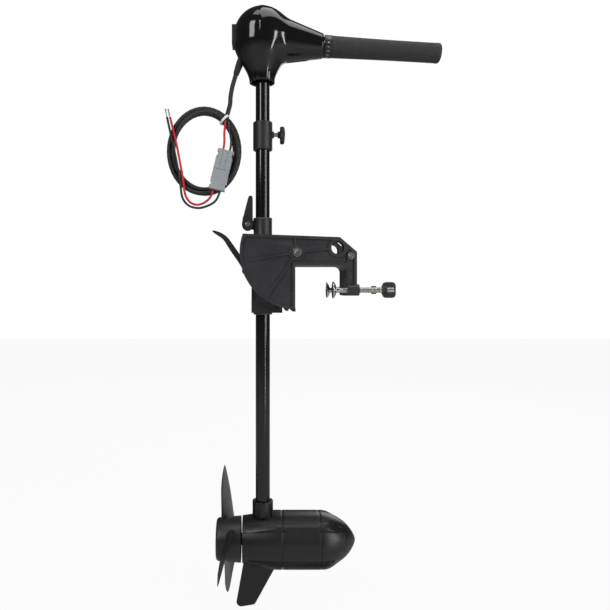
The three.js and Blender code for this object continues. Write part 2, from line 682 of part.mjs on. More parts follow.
// Curved release lever: a hub on the carrier's ears and a blade that sweeps out behind the fan.
function tiltLever() {
  const middle = new THREE.CatmullRomCurve3([
    new THREE.Vector3(TILT_PIN.x, 0, TILT_PIN.z),
    new THREE.Vector3(TILT_PIN.x - 9, 0, TILT_PIN.z + 17),
    new THREE.Vector3(TILT_PIN.x - 25, 0, TILT_PIN.z + 41),
    new THREE.Vector3(TILT_PIN.x - 39, 0, TILT_PIN.z + 60),
    new THREE.Vector3(TILT_PIN.x - 59, 0, TILT_PIN.z + 71),
  ]);
  const sides = [1, -1].map((sign) => middle.getSpacedPoints(12).map((point, i) => {
    const along = middle.getTangentAt(i / 12);
    const half = i < 12 ? 3.6 + 2.2 * Math.sin((Math.PI * i) / 12) - i * 0.12 : 1.2;
    return new THREE.Vector2(point.x - sign * along.z * half, point.z + sign * along.x * half);
  }));
  const outline = [...sides[1], ...sides[0].reverse()];
  const body = join([
    plateXZ(outline, -TILT_LEVER_HALF, TILT_LEVER_HALF),
    barY(TILT_HUB_RADIUS - 0.5, -TILT_LEVER_HALF, TILT_LEVER_HALF, TILT_PIN.x, TILT_PIN.z),
  ]);
  return cut(body, [barY(TILT_PIN.radius + GAP, -20, 20, TILT_PIN.x, TILT_PIN.z, SMALL_ROUND)]);
}

function tiltLeverPin() {
  const half = TILT_LEVER_HALF + GAP + TILT_EAR_WALL + 1;
  return barY(TILT_PIN.radius, -half, half, TILT_PIN.x, TILT_PIN.z, SMALL_ROUND);
}

function buildCarrier() {
  add('tilt_carrier', tiltCarrier(), castGrey());
  add('upper_bush', bush(CARRIER_TOP_Z, -1), nylonGrey());
  add('lower_bush', bush(CARRIER_FOOT_Z, 1), nylonGrey());
  add('cam_lever', camLever(), castGrey());
  add('cam_pin', camPin(), stainless());
  add('tilt_lever', tiltLever(), castGrey());
  add('tilt_lever_pin', tiltLeverPin(), stainless());
}

// ---------------------------------------------------------------------------------------------------
// Shaft and depth collar

function depthCollar() {
  const top = COLLAR.foot + COLLAR.height;
  const ring = turnedZ([
    [TUBE_RADIUS + GAP, COLLAR.foot],
    [COLLAR.radius - 0.8, COLLAR.foot],
    [COLLAR.radius, COLLAR.foot + 0.8],
    [COLLAR.radius, top - 0.8],
    [COLLAR.radius - 0.8, top],
    [TUBE_RADIUS + GAP, top],
    [TUBE_RADIUS + GAP, COLLAR.foot],
  ], 32);
  const boss = barX(6.2, TUBE_RADIUS + 2, COLLAR.radius + 2.4, 0, COLLAR.screwZ, 16);
  const hole = barX(COLLAR_SCREW_RADIUS + GAP, 5, COLLAR.radius + 5, 0, COLLAR.screwZ, SMALL_ROUND);
  return cut(join([ring, boss]), [barZ(TUBE_RADIUS + GAP, COLLAR.foot - 1, top + 1, 0, 0, 32), hole]);
}

function collarPad() {
  const start = TUBE_RADIUS + GAP;
  return barX(COLLAR_SCREW_RADIUS, start, start + COLLAR_PAD_LENGTH, 0, COLLAR.screwZ, SMALL_ROUND);
}

function collarScrew() {
  const start = TUBE_RADIUS + GAP + COLLAR_PAD_LENGTH + GAP;
  return barX(COLLAR_SCREW_RADIUS, start, COLLAR_KNOB.start + 8, 0, COLLAR.screwZ, SMALL_ROUND);
}

// Lobed hand knob moulded on the screw's end, with a waist towards the collar.
function collarKnob() {
  const { start, length, radius, lobes } = COLLAR_KNOB;
  const outline = Array.from({ length: lobes * 8 }, (_, i) => {
    const angle = (2 * Math.PI * i) / (lobes * 8);
    const reach = radius - 2.2 + 2.2 * Math.cos(lobes * angle);
    return new THREE.Vector2(reach * Math.cos(angle), reach * Math.sin(angle));
  });
  const disc = new THREE.ExtrudeGeometry(new THREE.Shape(outline), { depth: length - 4, bevelEnabled: false });
  disc.rotateY(Math.PI / 2).translate(start + 4, 0, 0);
  const waist = turnedX([
    [0, start], [6.4, start], [5.4, start + 2.5], [9, start + 5], [0, start + 5],
  ]);
  const dome = turnedX([
    [0, start + length - 1], [11.5, start + length - 1], [8, start + length + 1.2], [0, start + length + 1.6],
  ]);
  const body = join([disc, waist, dome]);
  const hole = barX(COLLAR_SCREW_RADIUS + GAP, start - 1, start + 8 + GAP, 0, 0, SMALL_ROUND);
  return geometryOf(cut(body, [hole])).translate(0, 0, COLLAR.screwZ);
}

function buildShaft() {
  const tube = ringProfile(TUBE_RADIUS - TUBE_WALL, TUBE_RADIUS, TUBE_FOOT_Z, TUBE_TOP_Z);
  const wall = turnedZ(tube, 32);
  add('shaft_tube', wall, tubeBlack());
  const leadTop = TUBE_TOP_Z + 4;
  const leadFoot = TUBE_FOOT_Z - 2;
  add('motor_lead', barZ(MOTOR_LEAD_RADIUS, leadFoot, leadTop, TUBE_RADIUS - TUBE_WALL - MOTOR_LEAD_RADIUS - GAP,
    0, SMALL_ROUND), sheathBlack());
  add('depth_collar', depthCollar(), castGrey());
  add('collar_pad', collarPad(), nylonGrey());
  add('collar_screw', collarScrew(), steel());
  add('collar_knob', collarKnob(), castGrey());
}

// ---------------------------------------------------------------------------------------------------
// Control head

// Radius of the head's round part at a height: neck, funnel and bulb, all drawn in by an inset.
function headRadiusAt(z, drawnIn) {
  const bulb = BULB_RADIUS - drawnIn;
  if (z >= BULB_Z) return Math.sqrt(Math.max(bulb * bulb - (z - BULB_Z) ** 2, 0));
  const rise = THREE.MathUtils.smoothstep(z, HEAD_FOOT_Z, HEAD_FOOT_Z + FUNNEL_HEIGHT);
  return NECK_RADIUS - drawnIn + (BULB_RADIUS - NECK_RADIUS) * rise;
}

function headBulb(drawnIn, floorZ) {
  const steps = 8;
  const below = Array.from({ length: steps }, (_, i) => floorZ + ((BULB_Z - floorZ) * i) / steps);
  const above = Array.from({ length: steps }, (_, i) =>
    BULB_Z + (BULB_RADIUS - drawnIn) * Math.sin((Math.PI / 2) * (i / steps)));
  const profile = [...below, ...above].map((z) => [headRadiusAt(z, drawnIn), z]);
  const bulb = turnedZ([[0, floorZ], ...profile, [0, BULB_Z + BULB_RADIUS - drawnIn]], 30);
  return bulb.scale(1, HEAD_FLATTENING, 1).translate(BULB_X, 0, 0);
}

// Tapered spout from the bulb to the handle, oval at its root and round at its end.
function headSpout(drawnIn, endX) {
  const rings = [0, 0.35, 0.7, 1].map((share) => {
    const x = share * endX;
    const t = x / SPOUT_END_X;
    const z = THREE.MathUtils.lerp(SPOUT_ROOT_Z, SPOUT_END_Z, t);
    const radius = THREE.MathUtils.lerp(SPOUT_ROOT_RADIUS, SPOUT_END_RADIUS, t) - drawnIn;
    const flattening = THREE.MathUtils.lerp(HEAD_FLATTENING - 0.02, 1, t);
    return Array.from({ length: 28 }, (_, i) => {
      const angle = (2 * Math.PI * i) / 28;
      return new THREE.Vector3(x, radius * flattening * Math.cos(angle), z + radius * Math.sin(angle));
    });
  });
  return loft(rings);
}

// Places a geometry made along the handle's own X axis on the sloping handle.
function onHandle(geometry) {
  return geometry.rotateY(HANDLE_SLOPE).translate(SPOUT_END_X, 0, SPOUT_END_Z);
}

function meterBlock(grow) {
  const { x, depth, half, z, width } = METER;
  return block(x - grow, x + depth + grow, -width - grow, width + grow, z - half - grow, z + half + grow);
}

// One half of the head's housing: side is -1 for the right half and 1 for the left.
function headShell(side) {
  const skin = join([headBulb(0, HEAD_FOOT_Z), headSpout(0, SPOUT_END_X)]);
  const hollow = join([headBulb(HEAD_WALL, CAVITY_FLOOR_Z), headSpout(HEAD_WALL, SPOUT_END_X - 8)]);
  const glandHole = barZ(GLAND_RADIUS + GAP, -12, 30, 0, 0, 16);
  const body = cut(skin.subtract(hollow), [
    barZ(TUBE_RADIUS + GAP, HEAD_FOOT_Z - 1, CAVITY_FLOOR_Z + 3, 0, 0, 32),
    onHandle(barX(HANDLE_RADIUS + GAP, -HANDLE_INNER_LENGTH, 5)),
    laidAlong(glandHole, GLAND_START, GLAND_END),
    meterBlock(GAP),
  ]);
  const keep = side > 0 ? block(-80, 130, GAP / 2, 80, 340, 520) : block(-80, 130, -80, -GAP / 2, 340, 520);
  return body.intersect(solidOf(keep));
}

// Battery meter in the head's rear face: a bezel round a sunk window.
function batteryMeter() {
  const { x, width, half, z } = METER;
  const window = block(x - 1, x + 1, -width + 4, width - 4, z - half + 5, z + half - 5);
  return cut(solidOf(meterBlock(0)), [window]);
}

function speedSwitch() {
  const half = SWITCH_SIZE / 2;
  const front = -HANDLE_INNER_LENGTH - GAP;
  const body = solidOf(block(front - SWITCH_SIZE, front, -half, half, -half, half));
  const bore = barX(SWITCH_ROD_RADIUS + GAP, front - 12, front + 1, 0, 0, SMALL_ROUND);
  return onHandle(geometryOf(cut(body, [bore])));
}

function handleTube() {
  const profile = ringProfile(HANDLE_RADIUS - HANDLE_WALL, HANDLE_RADIUS, -HANDLE_INNER_LENGTH, GRIP_LENGTH - 13);
  return onHandle(turnedX(profile));
}

function cableGland() {
  const length = GLAND_START.distanceTo(GLAND_END);
  const bore = CABLE_RADIUS + GAP;
  const profile = [
    [bore, 0], [GLAND_RADIUS, 0], [GLAND_RADIUS, 14], [bore + 0.9, length], [bore, length], [bore, 0],
  ];
  return laidAlong(turnedZ(profile, 16), GLAND_START, GLAND_END);
}

function buildHead() {
  add('head_shell_right', headShell(-1), glossBlack());
  add('head_shell_left', headShell(1), glossBlack());
  add('battery_meter', batteryMeter(), castGrey());
  add('speed_switch', speedSwitch(), nylonGrey());
  add('handle_tube', handleTube(), steel());
  add('cable_gland', cableGland(), rubberGrey());
}

// ---------------------------------------------------------------------------------------------------
// Twist grip

// Outer radius of the rubber along the grip: it narrows to a waist and swells a little at the end.
function gripRadiusAt(along) {
  const t = along / GRIP_LENGTH;
  return GRIP_START_RADIUS + (GRIP_WAIST_RADIUS - GRIP_START_RADIUS) * Math.sin((Math.PI / 2) * Math.min(t / 0.8, 1));
}

// Stiff core that turns on the handle tube; its flange carries the speed numbers.
function gripCore() {
  const bore = HANDLE_RADIUS + GAP;
  const skin = bore + GRIP_CORE_WALL;
  const end = GRIP_LENGTH - 9;
  const start = GRIP_START_RADIUS * Math.tan(HANDLE_SLOPE) + GAP;
  return onHandle(turnedX([
    [bore, start],
    [GRIP_START_RADIUS - 0.6, start],
    [GRIP_START_RADIUS, start + 0.6],
    [GRIP_START_RADIUS, NUMBER_RING_LENGTH],
    [skin, NUMBER_RING_LENGTH],
    [skin, end],
    [SWITCH_ROD_RADIUS + GAP, end],
    [SWITCH_ROD_RADIUS + GAP, end - 3],
    [bore, end - 3],
    [bore, start],
  ]));
}

function gripRubber() {
  const bore = HANDLE_RADIUS + GAP + GRIP_CORE_WALL + GAP;
  const start = NUMBER_RING_LENGTH + GAP;
  const stations = Array.from({ length: 8 }, (_, i) => start + ((GRIP_LENGTH - 6 - start) * i) / 7);
  const floor = GRIP_LENGTH - 9 + GAP;
  return onHandle(turnedX([
    [bore, start],
    ...stations.map((along) => [gripRadiusAt(along), along]),
    [gripRadiusAt(GRIP_LENGTH) - 2, GRIP_LENGTH - 2],
    [gripRadiusAt(GRIP_LENGTH) - 6, GRIP_LENGTH],
    [0, GRIP_LENGTH],
    [0, floor],
    [bore, floor],
    [bore, start],
  ]));
}

function switchRod() {
  const start = -HANDLE_INNER_LENGTH - 10;
  return onHandle(barX(SWITCH_ROD_RADIUS, start, GRIP_LENGTH - 9, 0, 0, SMALL_ROUND));
}

function buildGrip() {
  add('grip_core', gripCore(), castGrey());
  add('grip_rubber', gripRubber(), rubberGrey());
  add('switch_rod', switchRod(), steel());
}

// ---------------------------------------------------------------------------------------------------
// Motor pod

// Outer radius of the pod along its axis: a tapered rear bell, a plain middle and an ogive nose.
function podRadiusAt(x) {
  if (x <= MOTOR_SEAM_REAR_X) {
    const t = (x - MOTOR_REAR_X) / (MOTOR_SEAM_REAR_X - MOTOR_REAR_X);
    return THREE.MathUtils.lerp(MOTOR_REAR_RADIUS, MOTOR_RADIUS, Math.sin((Math.PI / 2) * t));
  }
  if (x <= MOTOR_SEAM_FRONT_X) return MOTOR_RADIUS;
  const t = (x - MOTOR_SEAM_FRONT_X) / (MOTOR_NOSE_X - MOTOR_SEAM_FRONT_X);
  return MOTOR_RADIUS * Math.max(1 - t ** 2, 0) ** 0.7;
}

function podStations(x0, x1, steps) {
  return Array.from({ length: steps + 1 }, (_, i) => x0 + ((x1 - x0) * i) / steps);
}

// Four long ribs at 45 degrees, rising behind the rear seam and fading into the nose.
function podRibs(x0, x1) {
  const rise = (x) => {
    if (x < RIB_FULL_X) return THREE.MathUtils.mapLinear(x, RIB_START_X, RIB_FULL_X, 0, 1);
    return 1 - THREE.MathUtils.smoothstep(x, MOTOR_SEAM_FRONT_X, RIB_FADE_X);
  };
  const topAt = (x) => THREE.MathUtils.lerp(podRadiusAt(x) - 0.5, RIB_TOP_RADIUS, Math.max(rise(x), 0));
  const section = new THREE.Shape([
    new THREE.Vector2(RIB_HALF_WIDTH, 30),
    ...arcPoints(0, RIB_TOP_RADIUS - RIB_HALF_WIDTH + 1, RIB_HALF_WIDTH, 0, 180, 6),
    new THREE.Vector2(-RIB_HALF_WIDTH, 30),
  ]);
  const stations = podStations(x0, x1, 4);
  const envelope = turnedX([[0, x0], ...stations.map((x) => [topAt(x), x]), [0, x1]], 30);
  const bar = new THREE.ExtrudeGeometry(section, { depth: x1 - x0, bevelEnabled: false });
  bar.rotateY(Math.PI / 2).translate(x0, 0, 0);
  const bars = [45, 135, 225, 315].map((angle) => bar.clone().rotateX(THREE.MathUtils.degToRad(angle)));
  return join(bars).intersect(solidOf(envelope));
}

function atMotor(solid) {
  return geometryOf(solid).translate(0, 0, MOTOR_Z);
}

// Solid of revolution between the pod's skin, drawn in by an inset, and its axis.
function podCore(x0, x1, drawnIn, steps) {
  const stations = podStations(x0, x1, steps);
  const profile = stations.map((x) => [Math.max(podRadiusAt(x) - drawnIn, 0), x]);
  return turnedX([[0, x0], ...profile, [0, x1]], 30);
}

// Fin below the rear bell, lofted from a thick root to a thin foot.
function skegPlate() {
  const { rearTop, frontTop, rearFoot, frontFoot, footZ, half } = SKEG;
  const top = -podRadiusAt(0) + MOTOR_WALL / 2;
  const foot = footZ - MOTOR_Z;
  const corner = 9;
  const outline = [
    new THREE.Vector2(frontTop, top - 2),
    new THREE.Vector2(rearTop, top + 3),
    ...arcPoints(rearFoot + corner, foot + corner, corner, 185, 268, 3),
    ...arcPoints(frontFoot - corner, foot + corner + 3, corner, 275, 325, 3),
  ];
  return plateXZ(outline, -half, half);
}

function rearHousing() {
  const end = MOTOR_SEAM_REAR_X - GAP / 2;
  const socketTop = SOCKET_TOP_Z - MOTOR_Z;
  const socketFloor = TUBE_FOOT_Z - MOTOR_Z;
  const wallX = MOTOR_REAR_X + 10;
  const skin = join([podCore(MOTOR_REAR_X, end, 0, 7), skegPlate(), barZ(SOCKET_RADIUS, 20, socketTop, 0, 0, 32)]);
  const ribbed = skin.add(podRibs(RIB_START_X, end));
  return atMotor(cut(ribbed, [
    podCore(wallX, end + 0.001, MOTOR_WALL, 5),
    barX(MOTOR_RADIUS - MOTOR_WALL, end - 2, end + 2, 0, 0, 30),
    barZ(TUBE_RADIUS + GAP, socketFloor - 2, socketTop + 1, 0, 0, 32),
    barX(BEARING.radius + GAP, wallX - 8, wallX + 2),
    barX(MOTOR_SHAFT_RADIUS + GAP, MOTOR_REAR_X - 1, wallX, 0, 0, SMALL_ROUND),
  ]));
}

function middleHousing() {
  const x0 = MOTOR_SEAM_REAR_X + GAP / 2;
  const x1 = MOTOR_SEAM_FRONT_X - GAP / 2;
  const body = solidOf(podCore(x0, x1, 0, 1)).add(podRibs(x0, x1));
  return atMotor(cut(body, [barX(MOTOR_RADIUS - MOTOR_WALL, x0 - 1, x1 + 1, 0, 0, 30)]));
}

function noseCone() {
  const x0 = MOTOR_SEAM_FRONT_X + GAP / 2;
  const cavityEnd = 122;
  const body = solidOf(podCore(x0, MOTOR_NOSE_X, 0, 9)).add(podRibs(x0, RIB_FADE_X));
  return atMotor(cut(body, [
    podCore(x0 - 0.001, cavityEnd - 10, MOTOR_WALL, 2),
    barX(MOTOR_RADIUS - MOTOR_WALL, x0 - 2, x0 + 2, 0, 0, 30),
    barX(BEARING.radius + GAP, x0, cavityEnd),
  ]));
}

function magnet(sign) {
  const { thickness, start, end, spread } = MAGNET;
  const outer = MOTOR_RADIUS - MOTOR_WALL - 2 * GAP;
  const inner = outer - thickness;
  const from = 90 - spread / 2;
  const section = new THREE.Shape([
    ...arcPoints(0, 0, outer, from, 180 - from, 10),
    ...arcPoints(0, 0, inner, 180 - from, from, 10),
  ]);
  const bar = new THREE.ExtrudeGeometry(section, { depth: end - start, bevelEnabled: false });
  return bar.rotateY(Math.PI / 2).translate(start, 0, 0)
    .rotateX(sign > 0 ? Math.PI / 2 : -Math.PI / 2)
    .translate(0, 0, MOTOR_Z);
}

function armature() {
  const { radius, start, end, slots, slotDepth } = ARMATURE;
  const body = join([
    barX(radius, start, end, 0, 0, 40),
    barX(COMMUTATOR.radius, COMMUTATOR.start, start + 1),
  ]);
  const cuts = Array.from({ length: slots }, (_, i) => {
    const slot = block(start - 1, end + 1, -1.6, 1.6, radius - slotDepth, radius + 2);
    return slot.rotateX((2 * Math.PI * i) / slots);
  });
  return atMotor(cut(body, [...cuts, barX(MOTOR_SHAFT_RADIUS + GAP, 0, end + 2, 0, 0, SMALL_ROUND)]));
}

function motorShaft() {
  const body = solidOf(barX(MOTOR_SHAFT_RADIUS, HUB_REAR_X + 3, 121, 0, 0, SMALL_ROUND));
  return atMotor(cut(body, [barY(2 + GAP, -8, 8, HUB_FRONT_X - 5, 0, SMALL_ROUND)]));
}

function bearing(x0) {
  const ring = ringProfile(MOTOR_SHAFT_RADIUS + GAP, BEARING.radius, x0, x0 + BEARING.length);
  return turnedX(ring).translate(0, 0, MOTOR_Z);
}

function shaftSeal() {
  const x0 = MOTOR_REAR_X - 3;
  const ring = ringProfile(MOTOR_SHAFT_RADIUS + GAP, 10, x0, MOTOR_REAR_X - GAP);
  return turnedX(ring).translate(0, 0, MOTOR_Z);
}

function brushPlate() {
  const x0 = COMMUTATOR.start + 6;
  const outer = podRadiusAt(x0) - MOTOR_WALL - 2 * GAP;
  const disc = join([
    turnedX(ringProfile(COMMUTATOR.radius + 6, outer, x0, x0 + 3), 32),
    ...[-1, 1].map((side) => block(x0 - 3, x0 + 6, side * 18 - 5, side * 18 + 5, -4, 4)),
  ]);
  const tubeRoom = block(x0 - 1, x0 + 4, -TUBE_RADIUS - 2, TUBE_RADIUS + 2, TUBE_FOOT_Z - MOTOR_Z - 4, outer + 1);
  return atMotor(cut(disc, [barX(COMMUTATOR.radius + 1, x0 - 5, x0 + 8), tubeRoom]));
}

function buildMotor() {
  add('motor_rear_housing', rearHousing(), podBlack());
  add('motor_middle_housing', middleHousing(), podBlack());
  add('motor_nose', noseCone(), podBlack());
  add('magnet_right', magnet(-1), ferrite());
  add('magnet_left', magnet(1), ferrite());
  add('brush_plate', brushPlate(), nylonGrey());
  add('rear_bearing', bearing(MOTOR_REAR_X + 2 + GAP), steel());
  add('front_bearing', bearing(112), steel());
  add('shaft_seal', shaftSeal(), rubberGrey());
  add('armature', armature(), copper());
  add('motor_shaft', motorShaft(), steel());
}

// ---------------------------------------------------------------------------------------------------
// Propeller

// One wide blade that points towards -Y: each ring lies on a cylinder about the pod's axis.
function blade() {
  const root = HUB_REAR_RADIUS - HUB_WALL + 2;
  const shares = [0, 0.14, 0.32, 0.52, 0.72, 0.87, 0.96, 1];
  const rings = shares.map((share) => {
    const radius = THREE.MathUtils.lerp(root, BLADE_TIP_RADIUS, share);
    const swell = Math.sin(Math.PI * Math.min(0.16 + share * 0.5, 1));
    const rounding = Math.max(1 - Math.max((share - 0.5) / 0.5, 0) ** 2, 0.02) ** 0.75;
    const chord = THREE.MathUtils.lerp(BLADE_ROOT_CHORD, BLADE_CHORD, Math.min(swell, 1) ** 1.6) * rounding;
    const pitch = Math.atan(BLADE_PITCH / (2 * Math.PI * radius));
    const thickness = THREE.MathUtils.lerp(BLADE_THICKNESS, 1.4, share) * Math.max(rounding, 0.3);
    return Array.from({ length: 14 }, (_, i) => {
      const angle = (-2 * Math.PI * i) / 14;
      const across = (chord / 2) * Math.cos(angle);
      const lift = (thickness / 2) * Math.sin(angle);
      const x = BLADE_MIDDLE_X + BLADE_RAKE * share + across * Math.sin(pitch) + lift * Math.cos(pitch);
      const turn = (across * Math.cos(pitch) - lift * Math.sin(pitch)) / radius;
      return new THREE.Vector3(x, -radius * Math.cos(turn), radius * Math.sin(turn));
    });
  });
  return loft(rings);
}

function propeller() {
  const boss = 12;
  const front = HUB_FRONT_X;
  const rear = HUB_REAR_X;
  const hub = turnedX([
    [MOTOR_SHAFT_RADIUS + GAP, rear + 12],
    [10, rear + 12],
    [10, rear + 2],
    [13, rear],
    [HUB_REAR_RADIUS - 3, rear],
    [HUB_REAR_RADIUS, rear + 3],
    [HUB_FRONT_RADIUS, front],
    [HUB_FRONT_RADIUS - HUB_WALL, front],
    [HUB_REAR_RADIUS - HUB_WALL, rear + 5],
    [boss, rear + 16],
    [boss, front - 3],
    [MOTOR_SHAFT_RADIUS + GAP, front - 3],
    [MOTOR_SHAFT_RADIUS + GAP, rear + 12],
  ], 32);
  const blades = Array.from({ length: BLADE_COUNT }, (_, i) => blade().rotateX((-2 * Math.PI * i) / BLADE_COUNT));
  const body = join([hub, ...blades]);
  const pinSlot = block(front - 5 - 2.6, front, -boss - 1, boss + 1, -2.4, 2.4);
  return atMotor(cut(body, [pinSlot]));
}

function propNut() {
  const start = HUB_REAR_X + 4;
  const nut = solidOf(barX(9, start, start + 8 - GAP, 0, 0, 6));
  return atMotor(cut(nut, [barX(MOTOR_SHAFT_RADIUS + GAP, start - 1, start + 9, 0, 0, SMALL_ROUND)]));
}

function drivePin() {
  return barY(2, -11, 11, HUB_FRONT_X - 5, MOTOR_Z, SMALL_ROUND);
}

function buildPropeller() {
  add('propeller', propeller(), bladeBlack());
  add('prop_nut', propNut(), stainless());
  add('drive_pin', drivePin(), stainless());
}

// ---------------------------------------------------------------------------------------------------
// Supply lead

// Routes, chosen by hand. Each runs from the head's side towards the battery's.
const CABLE_ROUTE = [
  [-47.7, 0, 383.6], [-51.3, 0, 372], [-55, 0, 358], [-57.4, 0, 343], [-58.6, 0, 329], [-60.3, 0, 312.6],
];
const LEAD_RED_ROUTE = [
  [-65.8, -11.2, 297], [-66.5, -13, 288], [-67.5, -16, 275], [-67.2, -17.6, 262], [-68.16, -17.6, 251.7],
  [-71.06, -17.6, 240.06],
];
const LEAD_BLACK_ROUTE = [
  [-60.4, -11.2, 296.4], [-59.5, -13.5, 286], [-57, -16.5, 272], [-55.6, -17.6, 260], [-56.52, -17.6, 248.8],
  [-59.42, -17.6, 237.16],
];
const BATTERY_RED_ROUTE = [
  [-85.58, -17.6, 181.84], [-88.48, -17.6, 170.2], [-94, -17, 160], [-104.5, -15, 152.5], [-117, -13, 150],
  [-129, -12, 155.5], [-136.5, -12, 168], [-139.5, -12, 186], [-142, -12, 204], [-146, -12, 226],
  [-150.5, -12, 250], [-156, -12, 274], [-160.5, -12, 293], [-163.2, -12, 304],
];
const BATTERY_BLACK_ROUTE = [
  [-73.94, -17.6, 178.94], [-76.84, -17.6, 167.3], [-84, -17.4, 155], [-98, -16.5, 147], [-114, -15.5, 143.8],
  [-130.5, -14, 148.5], [-141.2, -13, 162], [-144.6, -12.4, 182], [-147, -12.2, 200], [-151, -12, 222],
  [-155.8, -12, 246], [-161.4, -12, 271], [-166, -12, 292], [-168.5, -12, 304],
];

function supplyCoil() {
  const { x, z, halfWidth, halfHeight, radius } = COIL;
  const mean = (halfWidth + halfHeight) / 2;
  const section = arcPoints(mean, 0, radius, -90, 270, 8);
  const ring = new THREE.LatheGeometry(section, 36);
  return ring.scale(halfWidth / mean, 1, halfHeight / mean).translate(x, 0, z);
}

// White tie round the coil where the cable joins it.
function cableTie() {
  const { x, z, halfWidth, halfHeight, radius } = COIL;
  const at = (angle) => new THREE.Vector3(x + halfWidth * Math.cos(angle), 0, z + halfHeight * Math.sin(angle));
  const bore = radius * 1.05 + GAP;
  const ring = turnedZ(ringProfile(bore, bore + 1.3, -2.2, 2.2), ROUND);
  return laidAlong(ring, at(TIE_ANGLE), at(TIE_ANGLE + 0.01));
}

// One half of the plug and socket pair; share is -1 for the upper half and 1 for the lower.
function connectorHalf(share) {
  const { length, width, thickness } = CONNECTOR;
  const near = GAP / 2;
  const far = length;
  const wide = solidOf(block(-width / 2, width / 2, -thickness / 2, thickness / 2, near, far));
  const notch = (x) => block(x - 1.4, x + 1.4, -thickness / 2 - 1, 1 - thickness / 2, near - 1, far + 1);
  const grip = (side) => block(side * width / 2 - 2, side * width / 2 + 2, -thickness, thickness, far - 12, far - 6);
  const entry = (x) => barZ(WIRE_RADIUS + 2 * GAP, far - 8, far + 1, x, 0, SMALL_ROUND);
  const body = cut(wide, [notch(-4.5), notch(4.5), grip(-1), grip(1), entry(-6), entry(6)]);
  const geometry = geometryOf(body);
  if (share > 0) geometry.rotateX(Math.PI);
  geometry.rotateY(CONNECTOR_LEAN);
  return geometry.translate(CONNECTOR_MIDDLE.x, CONNECTOR_MIDDLE.y, CONNECTOR_MIDDLE.z);
}

function terminal(route) {
  const [before, last] = route.slice(-2).map(([x, y, z]) => new THREE.Vector3(x, y, z));
  const direction = last.clone().sub(before).normalize();
  const from = last.clone().addScaledVector(direction, GAP);
  const to = from.clone().addScaledVector(direction, TERMINAL.length);
  const { radius, length } = TERMINAL;
  return laidAlong(barZ(radius, 0, length, 0, 0, 8), from, to);
}

function buildSupplyLead() {
  add('supply_cable', cordAlong(CABLE_ROUTE, CABLE_RADIUS, 10, 6), sheathBlack());
  add('supply_coil', supplyCoil(), sheathBlack());
  add('cable_tie', cableTie(), tieWhite());
  add('lead_red', cordAlong(LEAD_RED_ROUTE, WIRE_RADIUS, 8, 6), wireRed());
  add('lead_black', cordAlong(LEAD_BLACK_ROUTE, WIRE_RADIUS, 8, 6), wireBlack());
  add('connector_upper', connectorHalf(-1), connectorGrey());
  add('connector_lower', connectorHalf(1), connectorGrey());
  add('battery_lead_red', cordAlong(BATTERY_RED_ROUTE, WIRE_RADIUS, 8, 20), wireRed());
  add('battery_lead_black', cordAlong(BATTERY_BLACK_ROUTE, WIRE_RADIUS, 8, 20), wireBlack());
  add('terminal_red', terminal(BATTERY_RED_ROUTE), tinned());
  add('terminal_black', terminal(BATTERY_BLACK_ROUTE), tinned());
}

// ---------------------------------------------------------------------------------------------------

buildBracket();
buildClamps();
buildCarrier();
buildShaft();
buildHead();
buildGrip();
buildMotor();
buildPropeller();
buildSupplyLead();

assembly.position.set(-SEAT_POINT_X, 0, -SEAT_Z);

const group = new THREE.Group();
group.add(assembly);

export default group;
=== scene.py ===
import json
import math
import bmesh
import bpy
import numpy as np
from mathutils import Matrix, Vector


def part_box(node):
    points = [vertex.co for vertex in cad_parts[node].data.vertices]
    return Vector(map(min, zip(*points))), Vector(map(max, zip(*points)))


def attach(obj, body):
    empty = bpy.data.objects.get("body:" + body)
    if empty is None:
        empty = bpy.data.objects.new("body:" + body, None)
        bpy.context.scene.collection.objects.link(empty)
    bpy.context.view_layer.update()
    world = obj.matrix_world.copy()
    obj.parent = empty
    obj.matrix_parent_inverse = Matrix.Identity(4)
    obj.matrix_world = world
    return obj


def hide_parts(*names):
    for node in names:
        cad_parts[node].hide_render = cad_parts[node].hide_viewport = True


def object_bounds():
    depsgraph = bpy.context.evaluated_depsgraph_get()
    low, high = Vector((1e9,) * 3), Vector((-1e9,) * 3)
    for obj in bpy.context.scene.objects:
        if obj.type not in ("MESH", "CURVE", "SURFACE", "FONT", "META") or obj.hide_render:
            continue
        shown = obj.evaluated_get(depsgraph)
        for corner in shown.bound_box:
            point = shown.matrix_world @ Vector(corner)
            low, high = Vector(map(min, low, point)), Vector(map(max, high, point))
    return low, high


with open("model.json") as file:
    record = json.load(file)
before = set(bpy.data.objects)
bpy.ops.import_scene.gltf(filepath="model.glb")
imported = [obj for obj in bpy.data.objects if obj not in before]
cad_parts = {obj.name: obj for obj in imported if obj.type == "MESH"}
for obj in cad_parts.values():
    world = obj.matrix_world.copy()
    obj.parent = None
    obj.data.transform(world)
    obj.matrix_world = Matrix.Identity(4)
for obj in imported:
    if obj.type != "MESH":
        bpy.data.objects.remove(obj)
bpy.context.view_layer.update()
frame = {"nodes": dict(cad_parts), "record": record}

# ---------------------------------------------------------------------------------------------------
# Frame: millimetres from the shaft's axis and the clamp screws' height, turned into the row's metres

tube_lo, tube_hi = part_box("shaft_tube")
AXIS_X = (tube_lo[0] + tube_hi[0]) / 2
TUBE_TOP = 402.0
TUBE_FOOT = -408.0


def P(x, y, z):
    return Vector((AXIS_X + x / 1000, y / 1000, tube_hi[2] + (z - TUBE_TOP) / 1000))


def array_P(points):
    points = np.asarray(points, dtype=float) / 1000
    return points + np.array([AXIS_X, 0, tube_hi[2] - TUBE_TOP / 1000])


MOTOR_Z = -443.0

# ---------------------------------------------------------------------------------------------------
# Camera

